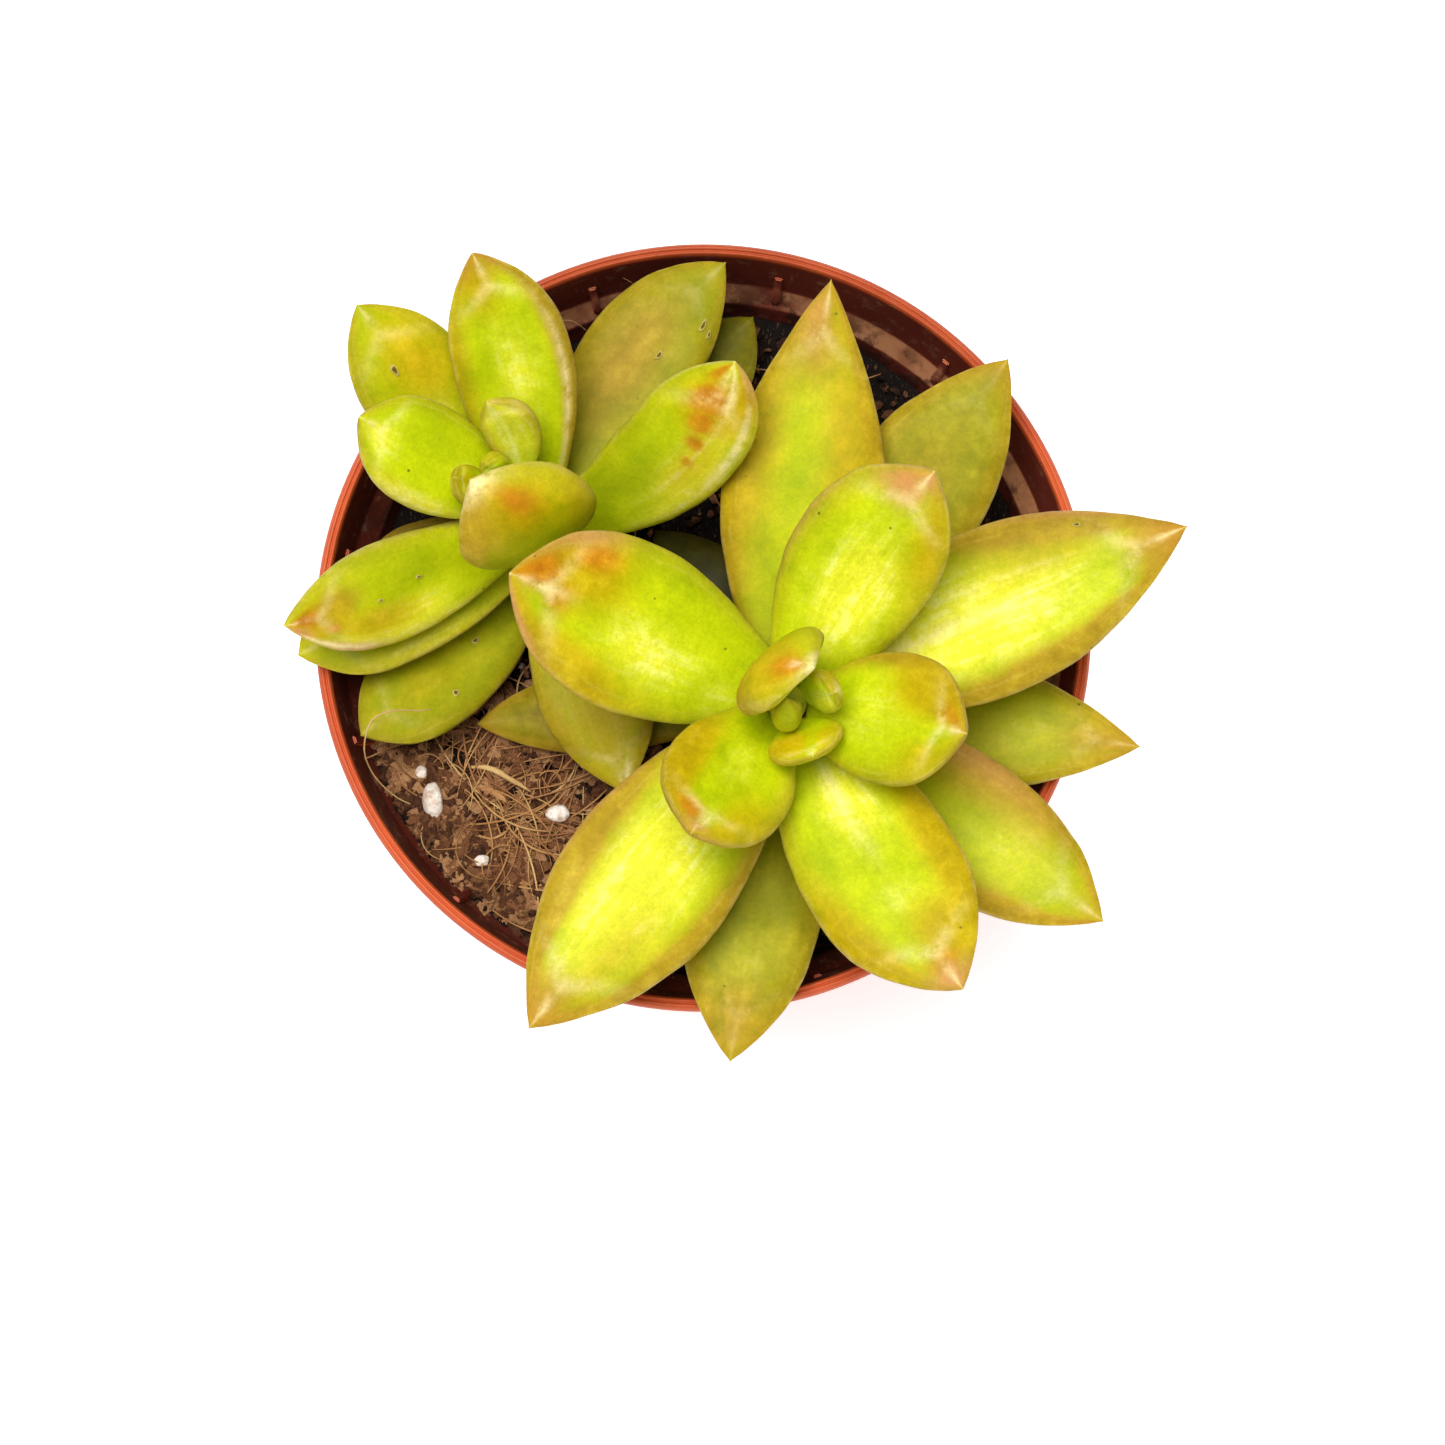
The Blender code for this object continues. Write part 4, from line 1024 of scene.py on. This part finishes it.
# One look for each leaf above, in the order that add_leaf gives.
BIG_LOOKS = [
    (0.30, 0.3, 0.2, 0.3, [("tan", 0.9, 0.0, 0.3, 1.0, 0.5), ("ridge_highlight", 0.95, 0.0, 0.08, 0.3, 0.7)]),
    (0.10, 0.4, 0.3, 0.1, [
        ("gold", 0.75, 1.5, 0.30, 0.60, 0.9), ("lemon_and_highlight", 0.60, -0.4, 0.30, 0.60, 0.8),
        ("ridge_highlight", 0.92, 2.0, 0.10, 0.5, 0.9), ("lemon_and_highlight", 0.60, 2.0, 0.40, 0.8, 0.9)]),
    (0.15, 0.5, 0.2, 0.3, [
        ("gold", 0.60, -0.5, 0.30, 0.70, 1.1), ("lemon_and_highlight", 0.92, 0.1, 0.06, 0.4, 0.9),
        ("gold", 0.70, 0.6, 0.25, 0.5, 0.7), ("ridge_highlight", 0.95, 0.0, 0.05, 0.3, 0.9)]),
    (0.10, 0.3, 0.3, 0.1, [
        ("gold", 0.70, 1.8, 0.35, 1.00, 0.8), ("amber", 0.86, 1.7, 0.14, 0.45, 0.9),
        ("tan", 0.35, 1.3, 0.35, 0.80, 0.8), ("amber", 0.30, 1.4, 0.16, 0.40, 0.5),
        ("ridge_highlight", 1.00, 2.0, 0.05, 3.0, 1.0), ("ridge_highlight", 0.90, 1.8, 0.04, 0.12, 0.9)]),
    (0.04, 0.6, 0.4, 0.7, [
        ("gold", 0.80, 0.55, 0.26, 0.45, 1.5), ("amber", 0.90, 0.40, 0.08, 0.35, 0.7),
        ("shade", 0.80, 0.60, 0.2, 0.4, 0.2), ("tan", 0.60, 0.95, 0.35, 0.22, 1.0),
        ("rose", 0.97, 0.1, 0.04, 0.6, 0.5), ("lemon_and_highlight", 0.45, 0.0, 0.22, 0.5, 0.4),
        ("gold", 0.80, -0.6, 0.2, 0.4, 0.7)]),
    (0.04, 0.7, 0.5, 0.7, [
        ("gold", 0.62, -0.78, 0.36, 0.34, 1.5), ("amber", 0.88, -0.40, 0.07, 0.40, 1.1),
        ("rose", 0.96, -0.1, 0.05, 0.8, 0.8), ("gold", 0.80, 0.6, 0.25, 0.45, 0.8),
        ("lemon_and_highlight", 0.45, 0.0, 0.15, 0.3, 0.4), ("ridge_highlight", 0.90, 0.1, 0.06, 0.16, 0.7)]),
    (0.02, 0.5, 0.6, 0.7, [
        ("lemon_and_highlight", 0.44, -0.10, 0.26, 0.50, 1.3), ("rose", 0.90, 0.32, 0.09, 0.7, 1.0),
        ("rose", 0.97, -0.1, 0.05, 0.8, 0.9), ("gold", 0.78, -0.7, 0.22, 0.40, 0.9),
        ("rose", 0.55, 1.0, 0.3, 0.12, 0.5), ("amber", 0.92, 0.5, 0.05, 0.4, 0.6)]),
    (0.02, 0.5, 0.7, 0.7, [
        ("lemon_and_highlight", 0.30, 0.10, 0.14, 0.40, 1.3), ("lemon_and_highlight", 0.66, 0.0, 0.06, 0.3, 0.4),
        ("gold", 0.63, 0.90, 0.32, 0.36, 1.5), ("gold", 0.82, 0.35, 0.12, 0.60, 1.1),
        ("gold", 0.76, -0.85, 0.25, 0.35, 1.1), ("amber", 0.91, 0.0, 0.05, 0.6, 0.8),
        ("rose", 0.96, 0.0, 0.05, 1.2, 0.9), ("ridge_highlight", 0.30, 0.0, 0.16, 0.08, 0.6)]),
    (0.02, 0.4, 0.6, 0.7, [
        ("gold", 0.80, -0.45, 0.20, 0.55, 1.3), ("amber", 0.92, -0.40, 0.08, 0.50, 1.3),
        ("amber", 0.74, -0.62, 0.08, 0.20, 1.0), ("amber", 0.83, 0.10, 0.06, 0.30, 0.8),
        ("gold", 0.76, 0.90, 0.28, 0.40, 1.4), ("lemon_and_highlight", 0.45, 0.25, 0.18, 0.40, 0.8),
        ("lemon_and_highlight", 0.16, 0.50, 0.08, 0.30, 0.5), ("rose", 0.90, 1.0, 0.14, 0.16, 0.9),
        ("rose", 0.80, -0.95, 0.16, 0.20, 0.8), ("ridge_highlight", 0.88, 0.0, 0.07, 0.10, 0.9)]),
    (0.02, 0.8, 0.8, 0.7, [
        ("lemon_and_highlight", 0.42, -0.05, 0.28, 0.55, 1.4), ("lemon_and_highlight", 0.62, 0.1, 0.14, 0.35, 0.9),
        ("gold", 0.66, 0.45, 0.20, 0.40, 0.6), ("tan", 0.72, 0.80, 0.26, 0.34, 1.2),
        ("shade", 0.72, 0.80, 0.3, 0.3, 0.3), ("tan", 0.60, -0.92, 0.34, 0.26, 1.1),
        ("tan", 0.93, -0.1, 0.10, 1.2, 1.1), ("rose", 0.74, 1.0, 0.20, 0.14, 0.7),
        ("ridge_highlight", 0.30, 0.0, 0.2, 0.06, 0.6)]),
    (0.04, 0.8, 0.7, 0.7, [
        ("lemon_and_highlight", 0.53, -0.05, 0.30, 0.50, 1.4), ("tan", 0.66, -0.86, 0.36, 0.32, 1.2),
        ("gold", 0.75, 0.35, 0.20, 0.40, 0.6), ("tan", 0.93, 0.0, 0.10, 1.2, 1.0),
        ("rose", 0.45, -1.05, 0.26, 0.12, 0.8), ("tan", 0.60, 0.95, 0.35, 0.22, 0.8)]),
    (0.25, 0.8, 0.7, 0.8, [
        ("gold", 0.55, 0.75, 0.32, 0.40, 1.0), ("gold", 0.55, -0.55, 0.34, 0.42, 0.9),
        ("tan", 0.64, -0.95, 0.34, 0.24, 1.1), ("tan", 0.50, 1.0, 0.34, 0.24, 1.1),
        ("tan", 0.86, 0.1, 0.14, 0.8, 1.0), ("rose", 0.90, 0.4, 0.10, 0.6, 0.5),
        ("shade", 0.12, 0.0, 0.2, 3.0, 0.25)]),
    (0.40, 0.8, 0.5, 0.8, [
        ("tan", 0.50, 0.66, 0.35, 0.50, 0.8), ("lemon_and_highlight", 0.71, 0.1, 0.14, 0.45, 0.4),
        ("rose", 0.47, 0.85, 0.25, 0.25, 0.6), ("tan", 0.70, -0.85, 0.3, 0.3, 0.8)]),
    (0.80, 0.7, 0.5, 1.0, [("tan", 0.55, 0.1, 0.25, 0.6, 0.5), ("shade", 0.10, 0.0, 0.4, 3.0, 0.4)]),
    (0.75, 0.6, 0.3, 1.0, [
        ("tan", 0.88, 0.0, 0.12, 0.9, 0.8), ("lemon_and_highlight", 0.72, 0.0, 0.10, 0.4, 0.3),
        ("shade", 0.30, 0.0, 0.35, 3.0, 0.5)]),
    (0.60, 0.6, 0.6, 1.0, [
        ("tan", 0.88, 0.0, 0.14, 0.9, 0.8), ("lemon_and_highlight", 0.70, 0.0, 0.16, 0.4, 0.3),
        ("shade", 0.30, 0.0, 0.35, 3.0, 0.4)]),
    (1.00, 0.3, 0.2, 1.0, [("shade", 0.50, 0.0, 3.0, 9.0, 1.5)]),
    (0.95, 0.9, 0.4, 1.0, [("tan", 0.6, 0.0, 0.4, 1.0, 0.6), ("shade", 0.5, 0.0, 3.0, 9.0, 0.35)]),
]
big_leaves = []
for number, (row, look) in enumerate(zip(BIG_LEAVES, BIG_LOOKS), start=1):
    big_leaves.append(add_leaf("big", number, BIG_STEM, row, look, number * 1.37))

# ---------------------------------------------------------------- little rosette
# Fifteen leaves round the shorter stem, slimmer and greener than the big rosette's. Two are rolled
# so that a sunburnt margin faces up, and one stands over the bud like a hood.

# Rows and looks as for the big rosette.
LITTLE_LEAVES = [
    (120, 0.0874, -0.0226, 0.0140, 0.0918, 0.0002, 0.0000, 0, 0.0030, 0.0024, 0.45, 2.5),
    (185, 0.0856, -0.0259, 0.0126, 0.0920, 0.0008, 0.0000, 0, 0.0044, 0.0028, 0.50, 2.6),
    (100, 0.0845, -0.0224, 0.0199, 0.0950, 0.0012, -0.0012, 0, 0.0060, 0.0036, 0.50, 2.8),
    (297, 0.0823, -0.0238, 0.0110, 0.0990, 0.0038, 0.0014, 0, 0.0150, 0.0048, 0.52, 3.2),
    (155, 0.0821, -0.0358, 0.0187, 0.0935, 0.0010, 0.0002, 0, 0.0114, 0.0050, 0.52, 3.0),
    (107, 0.0779, -0.0238, 0.0349, 0.0985, 0.0018, -0.0016, 0, 0.0128, 0.0048, 0.50, 2.6),
    (36, 0.0745, 0.0034, 0.0232, 0.0995, 0.0006, -0.0028, 28, 0.0122, 0.0050, 0.58, 3.6),
    (132, 0.0746, -0.0368, 0.0320, 0.0885, 0.0012, 0.0004, 0, 0.0128, 0.0048, 0.55, 3.0),
    (203, 0.0778, -0.0441, -0.0025, 0.0880, 0.0006, 0.0008, -32, 0.0112, 0.0048, 0.55, 2.6),
    (58, 0.0730, 0.0025, 0.0397, 0.0770, 0.0004, 0.0022, 0, 0.0132, 0.0050, 0.54, 2.8),
    (206, 0.0728, -0.0438, -0.0043, 0.0786, 0.0004, 0.0000, 0, 0.0118, 0.0038, 0.55, 3.2),
    (226, 0.0665, -0.0374, -0.0125, 0.0740, 0.0012, 0.0004, 0, 0.0122, 0.0044, 0.55, 3.2),
    (286, 0.0742, -0.0086, -0.0185, 0.0710, -0.0004, 0.0002, 0, 0.0128, 0.0048, 0.55, 2.2),
    (50, 0.0675, 0.0056, 0.0356, 0.0690, 0.0000, 0.0000, 0, 0.0110, 0.0040, 0.60, 3.0),
    (190, 0.0698, -0.0384, 0.0043, 0.0722, 0.0002, -0.0004, 0, 0.0108, 0.0036, 0.55, 2.6),
]
LITTLE_LOOKS = [
    (0.15, 0.2, 0.2, 0.5, [("lemon_and_highlight", 0.8, 0.0, 0.3, 0.6, 0.4)]),
    (0.20, 0.6, 0.3, 0.4, [("gold", 0.8, 0.0, 0.3, 0.8, 0.7), ("lemon_and_highlight", 0.6, 2.0, 0.4, 0.8, 0.7)]),
    (0.05, 0.6, 0.2, 0.2, [
        ("lemon_and_highlight", 0.75, 0.0, 0.60, 1.2, 1.5), ("lemon_and_highlight", 0.6, 2.0, 0.6, 0.9, 1.2),
        ("tan", 0.30, 0.9, 0.2, 0.5, 0.7)]),
    (0.20, 0.4, 0.2, 0.1, [
        ("gold", 0.80, 1.75, 0.20, 0.55, 1.2), ("amber", 0.81, 1.72, 0.09, 0.26, 1.0),
        ("tan", 0.88, -1.40, 0.25, 0.9, 1.0), ("gold", 0.62, 1.3, 0.2, 0.5, 0.6),
        ("ridge_highlight", 0.98, 2.0, 0.05, 1.5, 1.0), ("lemon_and_highlight", 0.91, 1.90, 0.05, 0.35, 0.9),
        ("shade", 0.30, 1.7, 0.25, 1.2, 0.4)]),
    (0.02, 0.4, 0.2, 0.8, [
        ("lemon_and_highlight", 0.85, 0.15, 0.10, 0.5, 0.9), ("lemon_and_highlight", 0.5, 0.9, 0.3, 0.20, 0.8),
        ("lemon_and_highlight", 0.30, 0.0, 0.10, 0.3, 0.5)]),
    (0.02, 0.6, 0.8, 0.8, [
        ("lemon_and_highlight", 0.50, 0.0, 0.22, 0.40, 0.7), ("gold", 0.86, 0.3, 0.12, 0.6, 0.8),
        ("tan", 0.50, -0.90, 0.4, 0.22, 1.0), ("tan", 0.94, 0.4, 0.08, 0.6, 0.7),
        ("ridge_highlight", 0.42, -0.80, 0.3, 0.06, 0.8), ("gold", 0.6, 0.9, 0.3, 0.2, 0.6)]),
    (0.12, 0.3, 0.1, 0.3, [
        ("gold", 0.60, -0.35, 0.22, 0.45, 0.6), ("lemon_and_highlight", 0.61, -0.38, 0.20, 0.34, 1.5),
        ("gold", 0.84, -0.10, 0.12, 0.70, 1.4), ("lemon_and_highlight", 0.50, -0.70, 0.22, 0.30, 1.2),
        ("amber", 0.85, 0.12, 0.055, 0.34, 1.5), ("amber", 0.76, 0.02, 0.04, 0.20, 1.4),
        ("amber", 0.68, -0.10, 0.03, 0.16, 1.3), ("amber", 0.60, -0.20, 0.02, 0.12, 1.0),
        ("amber", 0.96, 0.45, 0.05, 0.30, 1.0), ("ridge_highlight", 0.72, -0.78, 0.16, 0.07, 0.9),
        ("lemon_and_highlight", 0.80, -0.48, 0.04, 0.14, 1.2), ("ridge_highlight", 0.91, -0.30, 0.10, 0.10, 1.0),
        ("rose", 0.95, -1.0, 0.06, 0.3, 0.8), ("tan", 0.90, -0.7, 0.10, 0.3, 0.9),
        ("shade", 0.40, 0.40, 0.25, 0.45, 0.25)]),
    (0.40, 0.5, 0.1, 0.9, [("gold", 0.72, -0.25, 0.22, 0.7, 0.8), ("lemon_and_highlight", 0.50, 0.0, 0.12, 0.4, 0.4)]),
    (0.15, 0.4, 0.2, 0.3, [
        ("gold", 0.66, 0.40, 0.20, 0.35, 1.0), ("lemon_and_highlight", 0.58, 0.58, 0.20, 0.30, 1.4),
        ("lemon_and_highlight", 0.46, 0.95, 0.24, 0.26, 1.2), ("tan", 0.80, -0.20, 0.10, 0.45, 1.0),
        ("gold", 0.88, 0.10, 0.12, 0.70, 1.4), ("amber", 0.92, -0.05, 0.06, 0.45, 1.1),
        ("amber", 0.82, 0.35, 0.04, 0.16, 0.8), ("rose", 0.77, 0.90, 0.12, 0.16, 1.0),
        ("rose", 0.95, 0.75, 0.06, 0.40, 1.0), ("ridge_highlight", 0.84, 0.86, 0.16, 0.08, 1.0),
        ("shade", 0.45, -0.35, 0.35, 0.50, 0.45)]),
    (0.65, 0.6, 0.2, 1.0, [("tan", 0.55, 0.2, 0.30, 0.7, 0.9), ("shade", 0.5, 0.0, 3.0, 9.0, 0.22)]),
    (0.50, 0.4, 0.1, 0.6, [("lemon_and_highlight", 0.5, 0.9, 0.4, 0.25, 0.6)]),
    (0.60, 0.4, 0.2, 0.9, [("gold", 0.65, 0.0, 0.25, 0.5, 0.4), ("shade", 0.5, 0.0, 3.0, 9.0, 0.25)]),
    (0.30, 0.6, 0.3, 0.4, [
        ("tan", 0.65, 0.0, 0.5, 1.2, 0.7), ("lemon_and_highlight", 0.66, -0.1, 0.22, 0.5, 1.1),
        ("ridge_highlight", 0.93, 0.38, 0.06, 0.20, 0.9)]),
    (0.90, 0.2, 0.1, 1.0, [("shade", 0.50, 0.0, 3.0, 9.0, 0.9)]),
    (0.90, 0.9, 0.4, 1.0, [
        ("rose", 0.6, 0.0, 0.4, 0.7, 0.5), ("tan", 0.6, 0.0, 0.5, 1.0, 0.8),
        ("shade", 0.50, 0.0, 3.0, 9.0, 0.8)]),
]
little_leaves = []
for number, (row, look) in enumerate(zip(LITTLE_LEAVES, LITTLE_LOOKS), start=1):
    little_leaves.append(add_leaf("little", number, LITTLE_STEM, row, look, 40 + number * 1.37))

# ---------------------------------------------------------------- leaf scars
# Small corky rings where a leaf was nicked and healed: a pale raised lip round a darker pit.


def cork():
    """Dry cork: the pit is brown and the lip straw-coloured."""
    material, wire, feed = finish_named("cork", Specular_IOR_Level=0.15)
    place = wire.coordinates()
    tone = wire.given("tone")
    fine = place.grain(0.00015, 3, 0.6)
    dry = (tone * 0.8 + fine * 0.2).ramp(
        (0.15, ink(92, 72, 30)), (0.50, ink(160, 142, 52)), (0.90, ink(212, 198, 112)))
    feed("Base Color", dry.lit(0.85 + 0.3 * fine))
    feed("Roughness", 0.7 + 0.2 * fine)
    feed("Normal", fine.bump(0.5, 0.00005))
    return material


# Leaf, place along it, across it, and half length and half width in mm.
SCARS = [
    (little_leaves[7], 0.74, 0.18, 0.75, 0.38), (little_leaves[9], 0.80, -0.61, 0.85, 0.30),
    (little_leaves[9], 0.79, -0.80, 0.55, 0.22), (little_leaves[9], 0.63, -0.25, 0.60, 0.30),
    (little_leaves[11], 0.61, 0.55, 0.45, 0.42), (little_leaves[11], 0.40, 0.10, 0.50, 0.34),
    (little_leaves[8], 0.63, 0.00, 0.45, 0.24), (little_leaves[8], 0.46, -0.18, 0.36, 0.20),
    (big_leaves[9], 0.76, 0.74, 0.50, 0.24),
]
# Rings of a scar from its middle out: share of its size, height over the skin in mm, and tone.
SCAR_RINGS = [(0, 0.10, 0.10), (0.45, 0.11, 0.15), (0.72, 0.20, 0.85), (0.90, 0.15, 0.75), (1.0, -0.10, 0.5)]
scar_sides = 24
scar_points, scar_faces, scar_tones = [], [], []
for leaf, t, across, long, wide in SCARS:
    angle = math.acos(math.copysign(abs(across) ** (1 / 0.85), across))
    centre = leaf.at(t, angle)[0]
    ahead = (leaf.at(t + 0.02, angle)[0] - leaf.at(t - 0.02, angle)[0]).normalized()
    beside = (leaf.at(t, angle - 0.08)[0] - leaf.at(t, angle + 0.08)[0]).normalized()
    over = beside.cross(ahead).normalized()
    over = over if over.z > 0 else -over
    first = len(scar_points)
    for share, lift, tone in SCAR_RINGS:
        for k in range(scar_sides):
            turn = 2 * math.pi * k / scar_sides
            ragged = 1 + 0.14 * math.sin(3 * turn + t * 40) + 0.08 * math.sin(7 * turn)
            reach = share * ragged / 1000
            lengthwise = ahead * (long * reach * math.cos(turn))
            crosswise = beside * (wide * reach * math.sin(turn))
            scar_points.append(centre + lengthwise + crosswise + over * (lift / 1000))
            scar_tones.append(tone)
    for i in range(len(SCAR_RINGS) - 1):
        for k in range(scar_sides):
            a, b = first + i * scar_sides + k, first + i * scar_sides + (k + 1) % scar_sides
            scar_faces.append((a, a + scar_sides, b + scar_sides, b))
add_piece("leaf_scars", mesh_with("scars", scar_points, scar_faces, tone=scar_tones), cork())

# ---------------------------------------------------------------- floor and lights
# A plain white table under a large soft overhead light, with weak light from all round.

material, wire, feed = finish_named(
    "white_table", Specular_IOR_Level=0.1, Emission_Color=ink(255, 255, 255), Emission_Strength=0.55)
place = wire.coordinates()
feed("Base Color", place.grain(0.05, 3).ramp((0.3, ink(244, 244, 244)), (0.7, ink(250, 250, 250))))
feed("Roughness", 0.8 + 0.1 * place.grain(0.01, 2))
table_mesh = bpy.data.meshes.new("table")
table_mesh.from_pydata([(-2, -2, 0), (2, -2, 0), (2, 2, 0), (-2, 2, 0)], [], [(0, 1, 2, 3)])
table_mesh.materials.append(material)
table = bpy.data.objects.new("table", table_mesh)
bpy.context.scene.collection.objects.link(table)

world = bpy.data.worlds.new("studio")
world.use_nodes = True
world.node_tree.nodes["Background"].inputs["Color"].default_value = (1, 1, 1, 1)
world.node_tree.nodes["Background"].inputs["Strength"].default_value = 0.27
bpy.context.scene.world = world


def soft_light(name, place, aim, size, power):
    lamp = bpy.data.lights.new(name, "AREA")
    lamp.shape = "DISK"
    lamp.size = size
    lamp.energy = power
    light = bpy.data.objects.new(name, lamp)
    light.location = place
    light.rotation_euler = (Vector(place) - Vector(aim)).to_track_quat("Z", "Y").to_euler()
    bpy.context.scene.collection.objects.link(light)


soft_light("overhead_softbox", (-0.12, 0.10, 0.95), (0, 0, 0.08), 0.50, 8.8)
soft_light("front_fill", (0.35, -0.75, 0.7), (0, 0, 0.08), 0.5, 1.8)
